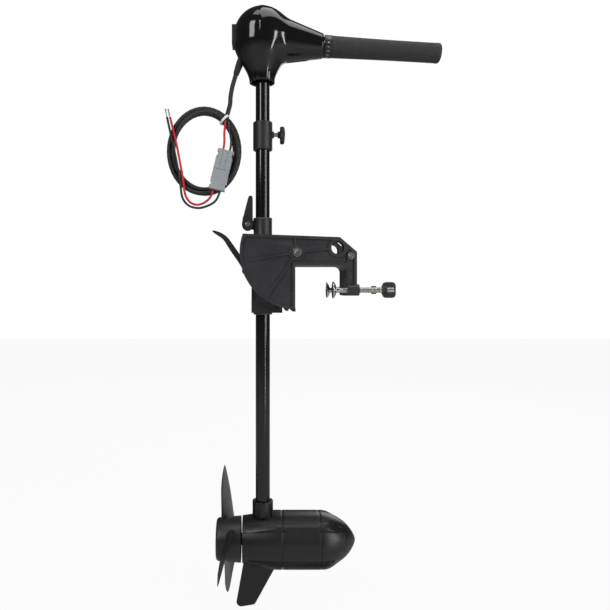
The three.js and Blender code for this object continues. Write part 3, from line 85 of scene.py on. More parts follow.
camera_data = bpy.data.cameras.new("camera")
camera = bpy.data.objects.new("camera", camera_data)
bpy.context.scene.collection.objects.link(camera)
camera.location = P(-5, -1050, 0)
camera.rotation_euler = (math.pi / 2, 0, 0)
camera_data.sensor_width = 36
camera_data.lens = 34.8
camera_data.shift_x = 0.0738
camera_data.shift_y = -0.0246
camera_data.clip_start = 0.01
camera_data.clip_end = 50
bpy.context.scene.camera = camera
bpy.context.scene.view_settings.view_transform = "Standard"

# ---------------------------------------------------------------------------------------------------
# Node helpers for materials


class Nodes:
    def __init__(self, name):
        self.material = bpy.data.materials.new(name)
        self.material.use_nodes = True
        self.tree = self.material.node_tree
        self.shader = self.tree.nodes["Principled BSDF"]
        self.output = self.tree.nodes["Material Output"]

    def node(self, kind, **values):
        made = self.tree.nodes.new(kind)
        for key, value in values.items():
            if hasattr(made, key):
                setattr(made, key, value)
            else:
                made.inputs[key].default_value = value
        return made

    def link(self, source, target):
        self.tree.links.new(source, target)

    def coords(self, kind="Object"):
        return self.node("ShaderNodeTexCoord").outputs[kind]

    def noise(self, scale, detail=4.0, vector=None, roughness=0.5, stretch=None):
        noise = self.node("ShaderNodeTexNoise")
        noise.inputs["Scale"].default_value = scale
        noise.inputs["Detail"].default_value = detail
        noise.inputs["Roughness"].default_value = roughness
        source = vector or self.coords()
        if stretch:
            mapping = self.node("ShaderNodeMapping")
            mapping.inputs["Scale"].default_value = stretch
            self.link(source, mapping.inputs["Vector"])
            source = mapping.outputs["Vector"]
        self.link(source, noise.inputs["Vector"])
        return noise.outputs["Fac"]

    def math(self, operation, a, b=None):
        made = self.node("ShaderNodeMath")
        made.operation = operation
        for i, value in enumerate((a, b)):
            if value is None:
                continue
            if isinstance(value, (int, float)):
                made.inputs[i].default_value = value
            else:
                self.link(value, made.inputs[i])
        return made.outputs[0]

    def ranged(self, value, low, high, from_low=0.3, from_high=0.7):
        made = self.node("ShaderNodeMapRange")
        made.inputs["From Min"].default_value = from_low
        made.inputs["From Max"].default_value = from_high
        made.inputs["To Min"].default_value = low
        made.inputs["To Max"].default_value = high
        self.link(value, made.inputs["Value"])
        return made.outputs["Result"]

    def mix_colour(self, factor, a, b):
        made = self.node("ShaderNodeMix")
        made.data_type = "RGBA"
        self.link(factor, made.inputs[0])
        for slot, value in ((6, a), (7, b)):
            if isinstance(value, tuple):
                made.inputs[slot].default_value = (*value, 1)
            else:
                self.link(value, made.inputs[slot])
        return made.outputs[2]

    def bump(self, height, strength, distance):
        made = self.node("ShaderNodeBump")
        made.inputs["Strength"].default_value = strength
        made.inputs["Distance"].default_value = distance
        self.link(height, made.inputs["Height"])
        self.link(made.outputs["Normal"], self.shader.inputs["Normal"])
        return made


def srgb(r, g, b):
    def linear(v):
        v /= 255
        return v / 12.92 if v <= 0.04045 else ((v + 0.055) / 1.055) ** 2.4
    return (linear(r), linear(g), linear(b))


def shade(colour, factor):
    return tuple(min(c * factor, 1) for c in colour)


def plastic(name, colour, rough=(0.35, 0.5), grain=900.0, bump=0.12, coat=0.0, mottle=0.15):
    """Moulded plastic or a coated casting: fine grain in the surface and a faint mottling."""
    n = Nodes(name)
    large = n.noise(18, 3)
    fine = n.noise(grain, 3)
    n.link(n.mix_colour(n.ranged(large, 0, 1), shade(colour, 1 - mottle), shade(colour, 1 + mottle)),
           n.shader.inputs["Base Color"])
    n.link(n.ranged(large, rough[0], rough[1]), n.shader.inputs["Roughness"])
    if coat:
        n.shader.inputs["Coat Weight"].default_value = coat
        n.shader.inputs["Coat Roughness"].default_value = 0.06
    n.bump(fine, bump, 0.0002)
    return n.material


def gloss(name, colour, rough=(0.05, 0.11)):
    """Polished moulding: nearly a mirror, with a trace of unevenness and faint handling marks."""
    n = Nodes(name)
    smear = n.noise(40, 2, stretch=(1, 1, 3))
    n.link(n.mix_colour(n.ranged(smear, 0, 1), shade(colour, 0.9), shade(colour, 1.15)),
           n.shader.inputs["Base Color"])
    n.link(n.ranged(smear, rough[0], rough[1]), n.shader.inputs["Roughness"])
    n.shader.inputs["IOR"].default_value = 1.5
    n.bump(n.noise(22, 2), 0.006, 0.0002)
    return n.material


def metal(name, colour, rough=(0.18, 0.34), stretch=(60, 900, 900), bump=0.1):
    """Turned or drawn steel with fine tool lines along one direction and small stains."""
    n = Nodes(name)
    lines = n.noise(1, 3, stretch=stretch)
    stains = n.noise(120, 4)
    n.link(n.mix_colour(n.ranged(stains, 0, 1), shade(colour, 0.82), shade(colour, 1.08)),
           n.shader.inputs["Base Color"])
    n.link(n.ranged(lines, rough[0], rough[1]), n.shader.inputs["Roughness"])
    n.shader.inputs["Metallic"].default_value = 1
    n.bump(lines, bump, 0.0001)
    return n.material


def knurl_rubber(name, colour):
    """Soft grip with a fine square knurl cut by lines round and along it, and painted shade darkening the
    grooves between the lands.
    """
    n = Nodes(name)
    uv = n.coords("UV")
    split = n.node("ShaderNodeSeparateXYZ")
    n.link(uv, split.inputs[0])
    waves = []
    for axis, count in (("X", 36), ("Y", 50)):
        angle = n.math("MULTIPLY", split.outputs[axis], count * 2 * math.pi)
        waves.append(n.math("ABSOLUTE", n.math("SINE", n.math("MULTIPLY", angle, 0.5))))
    lands = n.math("MINIMUM", waves[0], waves[1])
    height = n.ranged(lands, 0, 1, 0.0, 0.45)
    dust = n.noise(300, 4)
    base = n.mix_colour(n.ranged(dust, 0, 1), shade(colour, 0.85), shade(colour, 1.2))
    # Painted shade: the knurl's grooves are darkened to 0.35 of the grip colour, while the lands keep the
    # colour with its dust mottling.
    n.link(n.mix_colour(height, shade(colour, 0.35), base), n.shader.inputs["Base Color"])
    n.link(n.ranged(dust, 0.5, 0.68), n.shader.inputs["Roughness"])
    n.bump(height, 0.7, 0.0006)
    return n.material


def sheath(name, colour, strand):
    """Braided cable sleeve: two sets of crossed diagonal strands, with painted shade in the gaps between
    strands and painted light on the strands' crests.
    """
    n = Nodes(name)
    split = n.node("ShaderNodeSeparateXYZ")
    n.link(n.coords(), split.inputs[0])
    waves = []
    for sign in (1, -1):
        run = n.math("ADD", split.outputs["X"], n.math("MULTIPLY", split.outputs["Z"], sign))
        run = n.math("ADD", run, n.math("MULTIPLY", split.outputs["Y"], 0.7 * sign))
        waves.append(n.math("ABSOLUTE", n.math("SINE", n.math("MULTIPLY", run, math.pi / strand))))
    weave = n.math("MAXIMUM", waves[0], waves[1])
    lift = n.ranged(weave, 0, 1, 0.5, 1.0)
    # Painted shade and light: the gaps between strands are darkened to 0.45 of the colour, and the crests
    # are lightened to 1.5 times it.
    n.link(n.mix_colour(lift, shade(colour, 0.45), shade(colour, 1.5)), n.shader.inputs["Base Color"])
    n.shader.inputs["Roughness"].default_value = 0.5
    n.bump(lift, 0.5, 0.0004)
    return n.material


def insulation(name, colour):
    n = Nodes(name)
    marks = n.noise(160, 3, stretch=(1, 1, 0.3))
    n.link(n.mix_colour(n.ranged(marks, 0, 1), shade(colour, 0.8), shade(colour, 1.12)),
           n.shader.inputs["Base Color"])
    n.link(n.ranged(marks, 0.28, 0.45), n.shader.inputs["Roughness"])
    n.bump(n.noise(700, 2), 0.05, 0.0001)
    return n.material


GLOSS_BLACK = gloss("gloss black moulding", srgb(16, 16, 17))
TUBE_BLACK = gloss("black shaft coating", srgb(15, 15, 17), rough=(0.09, 0.13))
CAST = plastic("bracket moulding", srgb(42, 41, 44), rough=(0.38, 0.5), grain=1100, bump=0.16)
CAST_DARK = plastic("collar moulding", srgb(28, 28, 31), rough=(0.38, 0.5), grain=1100, bump=0.18)
POD = plastic("pod coating", srgb(22, 22, 23), rough=(0.32, 0.42), grain=1500, bump=0.1)
BLADE = plastic("propeller moulding", srgb(32, 32, 33), rough=(0.3, 0.42), grain=1200, bump=0.08)
GRIP = knurl_rubber("knurled grip", srgb(40, 40, 42))
GRIP_PLAIN = plastic("plain grip rubber", srgb(40, 40, 42), rough=(0.55, 0.7), grain=700, bump=0.2)
SEAL = plastic("seal rubber", srgb(26, 26, 28), rough=(0.55, 0.7), grain=700, bump=0.15)
NYLON = plastic("bush nylon", srgb(60, 61, 64), rough=(0.45, 0.6), grain=800, bump=0.1)
STAINLESS = metal("stainless steel", (0.62, 0.6, 0.57))
STEEL = metal("turned steel", (0.5, 0.5, 0.51), rough=(0.25, 0.4))
COPPER = metal("wound copper", (0.62, 0.3, 0.14), rough=(0.3, 0.5))
FERRITE = plastic("magnet ferrite", srgb(62, 62, 65), rough=(0.6, 0.75), grain=500, bump=0.3)
CONNECTOR = plastic("connector grey", srgb(148, 152, 156), rough=(0.4, 0.55), grain=700, bump=0.12,
                    mottle=0.08)
SHEATH = sheath("braided sleeve", srgb(30, 26, 27), 0.0026)
RED = insulation("red insulation", srgb(196, 18, 38))
BLACK_WIRE = insulation("black insulation", srgb(24, 25, 26))
TIE = plastic("tie nylon", srgb(228, 228, 224), rough=(0.3, 0.42), grain=600, bump=0.06, mottle=0.04)
TINNED = metal("tinned strands", (0.72, 0.7, 0.66), stretch=(2500, 2500, 60), bump=0.5)
PRINT_WHITE = plastic("printed white", srgb(222, 222, 220), rough=(0.45, 0.55), grain=700, bump=0.05,
                      mottle=0.05)
LENS = gloss("smoked window", srgb(22, 24, 30), rough=(0.04, 0.09))

# ---------------------------------------------------------------------------------------------------
# Mesh helpers


def finished(obj, material, body, smooth=35):
    if obj.type == "MESH":
        obj.data.shade_smooth()
        if smooth:
            obj.data.set_sharp_from_angle(angle=math.radians(smooth))
    obj.data.materials.clear()
    obj.data.materials.append(material)
    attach(obj, body)
    return obj


def new_mesh(name, vertices, faces):
    mesh = bpy.data.meshes.new(name)
    mesh.from_pydata([tuple(v) for v in vertices], [], faces)
    mesh.update()
    obj = bpy.data.objects.new(name, mesh)
    bpy.context.scene.collection.objects.link(obj)
    return obj


def outward(obj):
    bm = bmesh.new()
    bm.from_mesh(obj.data)
    bmesh.ops.recalc_face_normals(bm, faces=bm.faces)
    bm.to_mesh(obj.data)
    bm.free()
    return obj


def skin(name, rings, closed=False, caps=(False, False)):
    """Joins rings of equal length, in row metres, into one surface with UVs round and along it."""
    rings = np.asarray(rings)
    count, size = rings.shape[0], rings.shape[1]
    faces = []
    last = count if closed else count - 1
    for r in range(last):
        for i in range(size):
            j = (i + 1) % size
            s = (r + 1) % count
            faces.append((r * size + i, r * size + j, s * size + j, s * size + i))
    if caps[0]:
        faces.append(tuple(range(size))[::-1])
    if caps[1]:
        faces.append(tuple((count - 1) * size + i for i in range(size)))
    obj = new_mesh(name, rings.reshape(-1, 3), faces)
    layer = obj.data.uv_layers.new(name="UVMap")
    for polygon in obj.data.polygons[:last * size]:
        r, i = divmod(polygon.index, size)
        corners = ((i, r), (i + 1, r), (i + 1, r + 1), (i, r + 1))
        for loop, (u, v) in zip(polygon.loop_indices, corners):
            layer.data[loop].uv = (u / size, v / max(last, 1))
    return outward(obj)


def revolve(name, profile, axis="Z", centre=(0, 0, 0), sides=96, closed=True, slope=0.0,
            caps=(False, False)):
    """Turns [radius, height] points in millimetres about an axis and places it by its centre."""
    angles = np.arange(sides) * 2 * math.pi / sides
    rings = []
    for radius, height in profile:
        c, s = radius * np.cos(angles), radius * np.sin(angles)
        h = np.full(sides, float(height))
        local = {"Z": np.stack([c, s, h], 1), "X": np.stack([h, c, s], 1),
                 "Y": np.stack([c, h, s], 1)}[axis]
        if slope:
            x, z = local[:, 0].copy(), local[:, 2].copy()
            local[:, 0] = x * math.cos(slope) + z * math.sin(slope)
            local[:, 2] = z * math.cos(slope) - x * math.sin(slope)
        rings.append(array_P(local + np.array(centre)))
    return skin(name, rings, closed=closed, caps=caps)


def softened(profile, radius=0.8, steps=3):
    """Rounds the corners of a closed [radius, height] profile."""
    out = []
    count = len(profile)
    for i in range(count):
        a, b, c = (np.array(profile[(i + k) % count], dtype=float) for k in (-1, 0, 1))
        ab, cb = a - b, c - b
        la, lc = np.linalg.norm(ab), np.linalg.norm(cb)
        if la < 1e-6 or lc < 1e-6:
            out.append(b)
            continue
        reach = min(radius, la * 0.45, lc * 0.45)
        start, end = b + ab / la * reach, b + cb / lc * reach
        for k in range(steps + 1):
            t = k / steps
            out.append((1 - t) ** 2 * start + 2 * t * (1 - t) * b + t ** 2 * end)
    return out


def refined(node, material, bevel=0.6, segments=2, angle=32, dissolve=1.5):
    """A copy of a CAD piece with its flat faces merged and its edges rounded, in that piece's place."""
    source = frame["nodes"][node]
    bm = bmesh.new()
    bm.from_mesh(source.data)
    bmesh.ops.remove_doubles(bm, verts=bm.verts, dist=1e-6)
    bmesh.ops.dissolve_limit(bm, angle_limit=math.radians(dissolve), verts=bm.verts, edges=bm.edges)
    mesh = bpy.data.meshes.new(node + "_round")
    bm.to_mesh(mesh)
    bm.free()
    obj = bpy.data.objects.new(node + "_round", mesh)
    bpy.context.scene.collection.objects.link(obj)
    mesh.shade_smooth()
    mesh.set_sharp_from_angle(angle=math.radians(angle))
    mesh.materials.append(material)
    if bevel:
        modifier = obj.modifiers.new("edges", "BEVEL")
        modifier.width = bevel / 1000
        modifier.segments = segments
        modifier.limit_method = "ANGLE"
        modifier.angle_limit = math.radians(angle)
        modifier.harden_normals = True
        modifier.miter_outer = "MITER_ARC"
    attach(obj, body_of_node[node])
    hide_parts(node)
    return obj


def in_place(node, material, smooth=32):
    """Gives a CAD piece that already has the right shape its material."""
    obj = bpy.data.objects[node]
    obj.data.shade_smooth()
    obj.data.set_sharp_from_angle(angle=math.radians(smooth))
    obj.data.materials.clear()
    obj.data.materials.append(material)
    return obj


body_of_node = {}
for body_name, body_nodes in frame["record"]["behaviour"]["bodies"].items():
    for node_name in body_nodes:
        body_of_node[node_name] = body_name

# ---------------------------------------------------------------------------------------------------
# Cords

CABLE_ROUTE = [
    (-41.0, 0, 403.0), (-44.4, 0, 393.0), (-47.7, 0, 383.6), (-51.3, 0, 372), (-55, 0, 358),
    (-57.4, 0, 343), (-58.6, 0, 329), (-60.3, 0, 312.6),
]
LEAD_RED_ROUTE = [
    (-65.8, -11.2, 297), (-66.5, -13, 288), (-67.5, -16, 275), (-67.2, -17.6, 262), (-68.16, -17.6, 251.7),
    (-71.06, -17.6, 240.06),
]
LEAD_BLACK_ROUTE = [
    (-60.4, -11.2, 296.4), (-59.5, -13.5, 286), (-57, -16.5, 272), (-55.6, -17.6, 260),
    (-56.52, -17.6, 248.8),
    (-59.42, -17.6, 237.16),
]
BATTERY_RED_ROUTE = [
    (-85.58, -17.6, 181.84), (-88.48, -17.6, 170.2), (-94, -17, 160), (-104.5, -15, 152.5),
    (-117, -13, 150),
    (-129, -12, 155.5), (-136.5, -12, 168), (-139.5, -12, 186), (-142, -12, 204), (-146, -12, 226),
    (-150.5, -12, 250), (-156, -12, 274), (-160.5, -12, 293), (-163.2, -12, 304),
]
BATTERY_BLACK_ROUTE = [
    (-73.94, -17.6, 178.94), (-76.84, -17.6, 167.3), (-84, -17.4, 155), (-98, -16.5, 147),
    (-114, -15.5, 143.8),
    (-130.5, -14, 148.5), (-141.2, -13, 162), (-144.6, -12.4, 182), (-147, -12.2, 200), (-151, -12, 222),
    (-155.8, -12, 246), (-161.4, -12, 271), (-166, -12, 292), (-168.5, -12, 304),
]
COIL = dict(x=-104, z=246, half_width=58.5, half_height=72)
COIL_TURNS = 3
COIL_START = math.radians(52)
STRAND_OFFSET = 4.7


def catmull(points, per_span=6):
    """Points along the same kind of smooth curve that the CAD cords follow."""
    pts = [np.array(p, dtype=float) for p in points]
    pts = [2 * pts[0] - pts[1]] + pts + [2 * pts[-1] - pts[-2]]
    out = []
    for i in range(1, len(pts) - 2):
        p0, p1, p2, p3 = pts[i - 1:i + 3]
        for k in range(per_span):
            t = k / per_span
            out.append(0.5 * (2 * p1 + (p2 - p0) * t + (2 * p0 - 5 * p1 + 4 * p2 - p3) * t ** 2
                              + (3 * p1 - p0 - 3 * p2 + p3) * t ** 3))
    out.append(pts[-2])
    return out


def cord_curve(name, points, diameter, material, body, node_names):
    curve = bpy.data.curves.new(name, "CURVE")
    curve.dimensions = "3D"
    curve.bevel_depth = diameter / 2000
    curve.bevel_resolution = 5
    curve.use_fill_caps = True
    spline = curve.splines.new("POLY")
    spline.points.add(len(points) - 1)
    for point, place in zip(spline.points, points):
        point.co = (*P(*place), 1)
    spline.use_smooth = True
    obj = bpy.data.objects.new(name, curve)
    bpy.context.scene.collection.objects.link(obj)
    curve.materials.append(material)
    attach(obj, body)
    if node_names:
        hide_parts(*node_names)
    return obj


def coil_points():
    """Three turns of the cable, lying a diameter apart round the coil's middle line."""
    out = []
    steps = 48 * COIL_TURNS
    for k in range(steps + 1):
        turn = k / 48
        angle = COIL_START - 2 * math.pi * turn
        round_ring = math.radians(20) + 2 * math.pi * turn / 3
        wander = 1.0 + 0.05 * math.sin(3 * angle + turn)
        outward_reach = STRAND_OFFSET * wander * math.cos(round_ring)
        side_reach = STRAND_OFFSET * math.sin(round_ring)
        x = COIL["x"] + (COIL["half_width"] + outward_reach) * math.cos(angle)
        z = COIL["z"] + (COIL["half_height"] + outward_reach) * math.sin(angle)
        out.append((x, side_reach, z))
    return out


cable_points = catmull(CABLE_ROUTE[:-1] + [coil_points()[0]])[:-1] + coil_points()
supply_cable = cord_curve("supply_lead", cable_points, 8, SHEATH, "shaft", ["supply_cable", "supply_coil"])
red_points = catmull(LEAD_RED_ROUTE)
black_points = catmull(LEAD_BLACK_ROUTE)
battery_red_points = catmull(BATTERY_RED_ROUTE)
battery_black_points = catmull(BATTERY_BLACK_ROUTE)
red_lead = cord_curve("plug_lead_red", red_points, 4, RED, "shaft", ["lead_red"])
black_lead = cord_curve("plug_lead_black", black_points, 4, BLACK_WIRE, "shaft", ["lead_black"])
red_tail = cord_curve("battery_tail_red", battery_red_points, 4, RED, "shaft", ["battery_lead_red"])
black_tail = cord_curve("battery_tail_black", battery_black_points, 4, BLACK_WIRE, "shaft",
                        ["battery_lead_black"])

# ---------------------------------------------------------------------------------------------------
# Cable end pieces: gland, tie and the plug and socket pair

in_place("cable_gland", SEAL)
tie_band = refined("cable_tie", TIE, bevel=0.3)

connector_top = refined("connector_upper", CONNECTOR, bevel=0.9, segments=3)
connector_foot = refined("connector_lower", CONNECTOR, bevel=0.9, segments=3)
in_place("terminal_red", TINNED)
in_place("terminal_black", TINNED)

# ---------------------------------------------------------------------------------------------------
# Control head: one smooth skin over bulb, neck and spout, split into two halves


def smoothstep(value, low, high):
    t = np.clip((value - low) / (high - low), 0, 1)
    return t * t * (3 - 2 * t)


def head_distance(points):
    """Signed measure of the head's skin, negative inside, with the spout blended into the bulb."""
    x, y, z = points[..., 0], points[..., 1], points[..., 2]
    round_radius = np.sqrt((x + 1) ** 2 + (y / 0.92) ** 2)
    upper = np.sqrt(round_radius ** 2 + (z - 452) ** 2) - 50.5
    funnel = 22.5 + 28.0 * smoothstep(z, 368, 438)
    lower = round_radius - funnel
    bulb = np.where(z >= 452, upper, lower)
    t = np.clip(x / 107, 0, 1.2)
    centre = 450 + (433.5 - 450) * t
    radius = 48.5 + (21.3 - 48.5) * t
    flattening = 0.90 + 0.10 * np.clip(t, 0, 1)
    spout = np.sqrt((y / flattening) ** 2 + (z - centre) ** 2) - radius
    spout = np.maximum(spout, -x)
    blend = 8.0
    h = np.clip(0.5 + 0.5 * (spout - bulb) / blend, 0, 1)
    return spout * (1 - h) + bulb * h - blend * h * (1 - h)


def head_skin():
    """Casts rays from the spout's root to the skin, from the spout's rim round to the rear."""
    root = np.array([0.0, 0.0, 450.0])
    along = np.array([107.0, 0, 433.5 - 450])
    along /= np.linalg.norm(along)
    side = np.array([0.0, 1.0, 0.0])
    around, rows = 144, 120
    azimuths = np.arange(around) * 2 * math.pi / around
    rim = np.stack([np.full(around, 107.0), 21.3 * np.cos(azimuths), 433.5 + 21.3 * np.sin(azimuths)], 1)
    rim_direction = rim - root
    rim_direction /= np.linalg.norm(rim_direction, axis=1)[:, None]
    rim_angle = np.arccos(np.clip(rim_direction @ along, -1, 1))
    cross_direction = rim_direction - (rim_direction @ along)[:, None] * along
    cross_direction /= np.linalg.norm(cross_direction, axis=1)[:, None]
    rings = [rim]
    for row in range(1, rows):
        share = (row / rows) ** 1.15
        angle = rim_angle + (math.pi - 0.01 - rim_angle) * share
        direction = np.cos(angle)[:, None] * along + np.sin(angle)[:, None] * cross_direction
        low, high = np.full(around, 5.0), np.full(around, 190.0)
        for _ in range(34):
            middle = (low + high) / 2
            inside = head_distance(root + direction * middle[:, None]) < 0
            low = np.where(inside, middle, low)
            high = np.where(inside, high, middle)
        rings.append(root + direction * ((low + high) / 2)[:, None])
    return [array_P(ring) for ring in rings]


def half_head(name, node, sign):
    obj = skin(name, head_skin_rings, caps=(False, True))
    bm = bmesh.new()
    bm.from_mesh(obj.data)
    geometry = bm.verts[:] + bm.edges[:] + bm.faces[:]
    bmesh.ops.bisect_plane(bm, geom=geometry, plane_co=P(0, sign * 0.12, 0), plane_no=(0, -sign, 0),
                           clear_outer=True)
    geometry = bm.verts[:] + bm.edges[:] + bm.faces[:]
    bmesh.ops.bisect_plane(bm, geom=geometry, plane_co=P(0, 0, 368), plane_no=(0, 0, -1), clear_outer=True)
    bm.to_mesh(obj.data)
    bm.free()
    finished(obj, GLOSS_BLACK, "shaft", smooth=40)
    wall = obj.modifiers.new("wall", "SOLIDIFY")
    wall.thickness = 0.0025
    wall.offset = -1
    wall.use_even_offset = False
    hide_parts(node)
    return obj


head_skin_rings = head_skin()
half_head("head_half_right", "head_shell_right", -1)
half_head("head_half_left", "head_shell_left", 1)


# Battery meter: bezel from the CAD with a sunk window and three small lamps
refined("battery_meter", CAST_DARK, bevel=1.2, segments=3)
meter_lo, meter_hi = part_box("battery_meter")


def rounded_block(name, lo, hi, radius, material, body):
    lo, hi = Vector(lo), Vector(hi)
    corners = [(x, y, z) for x in (lo.x, hi.x) for y in (lo.y, hi.y) for z in (lo.z, hi.z)]
    faces = [(0, 1, 3, 2), (4, 6, 7, 5), (0, 4, 5, 1), (2, 3, 7, 6), (0, 2, 6, 4), (1, 5, 7, 3)]
    obj = outward(new_mesh(name, corners, faces))
    modifier = obj.modifiers.new("edges", "BEVEL")
    modifier.width = radius / 1000
    modifier.segments = 4
    return finished(obj, material, body, smooth=40)


middle_y = (meter_lo[1] + meter_hi[1]) / 2
middle_z = (meter_lo[2] + meter_hi[2]) / 2
rounded_block("meter_window", (meter_lo[0] + 0.0004, middle_y - 0.0105, middle_z - 0.0115),
              (meter_lo[0] + 0.0014, middle_y + 0.0105, middle_z + 0.0115), 0.4, LENS, "shaft")
for i in range(3):
    lamp_z = middle_z + (i - 1) * 0.006
    rounded_block(f"meter_bar_{i}", (meter_lo[0] + 0.0002, middle_y - 0.006, lamp_z - 0.0012),
                  (meter_lo[0] + 0.0006, middle_y + 0.006, lamp_z + 0.0012), 0.2, PRINT_WHITE, "shaft")

in_place("speed_switch", NYLON)
in_place("handle_tube", STEEL)

# ---------------------------------------------------------------------------------------------------
# Twist grip

SLOPE = math.radians(3.4)
HANDLE_AT = (107, 0, 433.5)


def grip_radius(along):
    t = along / 209
    return 19.4 + (17.4 - 19.4) * math.sin((math.pi / 2) * min(t / 0.8, 1))


core_profile = softened([(10.9, 1.5), (18.8, 1.5), (19.4, 2.1), (19.4, 15), (12.8, 15), (10.9, 15)], 0.5)
core = revolve("number_ring", core_profile, "X", HANDLE_AT, slope=SLOPE)
finished(core, CAST_DARK, "twist_grip")
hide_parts("grip_core")
in_place("switch_rod", STEEL)

grip_profile = [(13.2, 15.4), (18.5, 15.4)]
grip_profile += [(grip_radius(a) - 0.35, a) for a in np.linspace(16.0, 200.5, 70)]
skin_part = revolve("grip_knurl", grip_profile, "X", HANDLE_AT, slope=SLOPE, closed=False)
finished(skin_part, GRIP, "twist_grip", smooth=50)
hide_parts("grip_rubber")
end_profile = [(grip_radius(200) - 0.35, 200.3), (grip_radius(202), 201.2), (17.4, 203), (17.1, 205.4),
               (16.0, 207.4),
               (14.0, 208.6), (11.0, 209), (4.0, 208.6), (0.01, 208.5)]
grip_end = revolve("grip_end", end_profile, "X", HANDLE_AT, slope=SLOPE, closed=False)
finished(grip_end, GRIP_PLAIN, "twist_grip", smooth=50)


def ring_text(text, along, angle, size):
    """A printed numeral wrapped on the number ring."""
    curve = bpy.data.curves.new("numeral_curve", "FONT")
    curve.body = text
    curve.size = size
    curve.align_x = "CENTER"
    curve.align_y = "CENTER"
    temp = bpy.data.objects.new("numeral_temp", curve)
    bpy.context.scene.collection.objects.link(temp)
    depsgraph = bpy.context.evaluated_depsgraph_get()
    mesh = bpy.data.meshes.new_from_object(temp.evaluated_get(depsgraph))
    bpy.data.objects.remove(temp)
    radius = 19.47
    for vertex in mesh.vertices:
        around = math.radians(angle) + vertex.co.x / radius
        y, z, x = -radius * math.cos(around), radius * math.sin(around), along + vertex.co.y
        place = (HANDLE_AT[0] + x * math.cos(SLOPE) + z * math.sin(SLOPE), y,
                 HANDLE_AT[2] + z * math.cos(SLOPE) - x * math.sin(SLOPE))
        vertex.co = P(*place)
    return mesh


numeral_meshes = [ring_text(str(abs(n)), 8.4, -n * 22, 5.2) for n in range(-5, 6)]
bm = bmesh.new()
for mesh in numeral_meshes:
    bm.from_mesh(mesh)
joined = bpy.data.meshes.new("speed_numerals")
bm.to_mesh(joined)
bm.free()
numerals = bpy.data.objects.new("speed_numerals", joined)
bpy.context.scene.collection.objects.link(numerals)
finished(numerals, PRINT_WHITE, "twist_grip", smooth=0)

# ---------------------------------------------------------------------------------------------------
# Shaft, depth collar and its knob

tube_profile = [(11.1, TUBE_FOOT), (12.7, TUBE_FOOT), (12.7, TUBE_TOP), (11.1, TUBE_TOP)]
tube = revolve("shaft_tube_skin", tube_profile, sides=96)
finished(tube, TUBE_BLACK, "shaft")
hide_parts("shaft_tube")
in_place("motor_lead", SHEATH)

refined("depth_collar", CAST_DARK, bevel=0.5, segments=3, angle=40)
in_place("collar_pad", NYLON)
in_place("collar_screw", STEEL)


def lobed_knob():
    """Five-lobed hand knob with a rounded rim and a waist towards the collar."""
    sides = 120
    angles = np.arange(sides) * 2 * math.pi / sides
    lobe = 14.3 + 2.2 * np.cos(5 * angles)
    stations = [(0.30, 26.5), (0.39, 26.5), (0.34, 28.6), (0.44, 30.4), (0.80, 30.6), (0.95, 31.2),
                (1.0, 32.4),
                (1.0, 36.4), (0.96, 37.6), (0.86, 38.4), (0.7, 38.8), (0.45, 39.6), (0.02, 40.0)]
    rings = []
    for share, x in stations:
        lobedness = smoothstep(np.array(share), 0.45, 0.85)
        radius = share * (16.0 * (1 - lobedness) + lobe * lobedness)
        ring = np.stack([np.full(sides, x), radius * np.cos(angles), 276 + radius * np.sin(angles)], 1)
        rings.append(array_P(ring))
    return skin("collar_knob_skin", rings, caps=(False, True))


knob = finished(lobed_knob(), CAST_DARK, "collar_screw_body", smooth=50)
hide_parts("collar_knob")

# ---------------------------------------------------------------------------------------------------
# Clamp bracket

for name in ("bracket_side_right", "bracket_side_left"):
    refined(name, CAST, bevel=0.7, segments=2, angle=40)
refined("transom_saddle", CAST, bevel=0.6)
for name in ("pivot_bolt", "pivot_nut", "leg_screw", "leg_nut"):
    refined(name, STAINLESS, bevel=0.35)

for side, y in (("right", -46), ("left", 46)):
    in_place("clamp_pad_" + side, STAINLESS)
    pad_profile = softened([(3, 120.7), (11.5, 119.8), (13.5, 118.5), (14.5, 118.5), (14.5, 120.1),
                            (11, 122.8),
                            (8.4, 124), (5.3, 124), (5.3, 122), (3, 122)], 0.4)
    pad = revolve("pad_disc_" + side, pad_profile, "X", (0, y, 0), sides=72)
    finished(pad, STAINLESS, "pad_" + side)
    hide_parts("clamp_pad_" + side)


def threaded_rod(name, x0, x1, y, radius, pitch, plain_start, plain_end):
    """Screw with a rolled trapezoidal thread between its plain ends."""
    sides, per_turn = 36, 12
    count = int((x1 - x0) / pitch * per_turn)
    angles = np.arange(sides) * 2 * math.pi / sides
    rings = []
    for k in range(count + 1):
        x = x0 + (x1 - x0) * k / count
        phase = (x / pitch + angles / (2 * math.pi)) % 1
        tooth = np.clip((np.abs(phase - 0.5) * 4 - 0.5) * 1.4, 0, 1)
        fade = smoothstep(np.array(x), plain_start,
                          plain_start + 1.5) * (1 - smoothstep(np.array(x), plain_end - 1.5, plain_end))
        r = radius - 0.95 * tooth * fade
        r = np.minimum(r, radius - 1.2 + max(0, x - x0) * 0.6)
        r = np.minimum(r, radius - 1.0 + max(0, x1 - x) * 1.0)
        rings.append(array_P(np.stack([np.full(sides, x), y + r * np.cos(angles), r * np.sin(angles)], 1)))
    return skin(name, rings, caps=(True, True))


screw_lo, screw_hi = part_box("clamp_screw_right")
SCREW_X0 = (screw_lo[0] - AXIS_X) * 1000
SCREW_X1 = (screw_hi[0] - AXIS_X) * 1000
for side, y in (("right", -46), ("left", 46)):
    rod = threaded_rod("clamp_rod_" + side, SCREW_X0, SCREW_X1, y, 5, 2, SCREW_X0 + 8, SCREW_X1 - 24)
    finished(rod, STAINLESS, "screw_" + side, smooth=25)
    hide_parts("clamp_screw_" + side)
    refined("clamp_wing_" + side, CAST_DARK, bevel=1.4, segments=4, angle=40)

# ---------------------------------------------------------------------------------------------------
# Carrier and levers

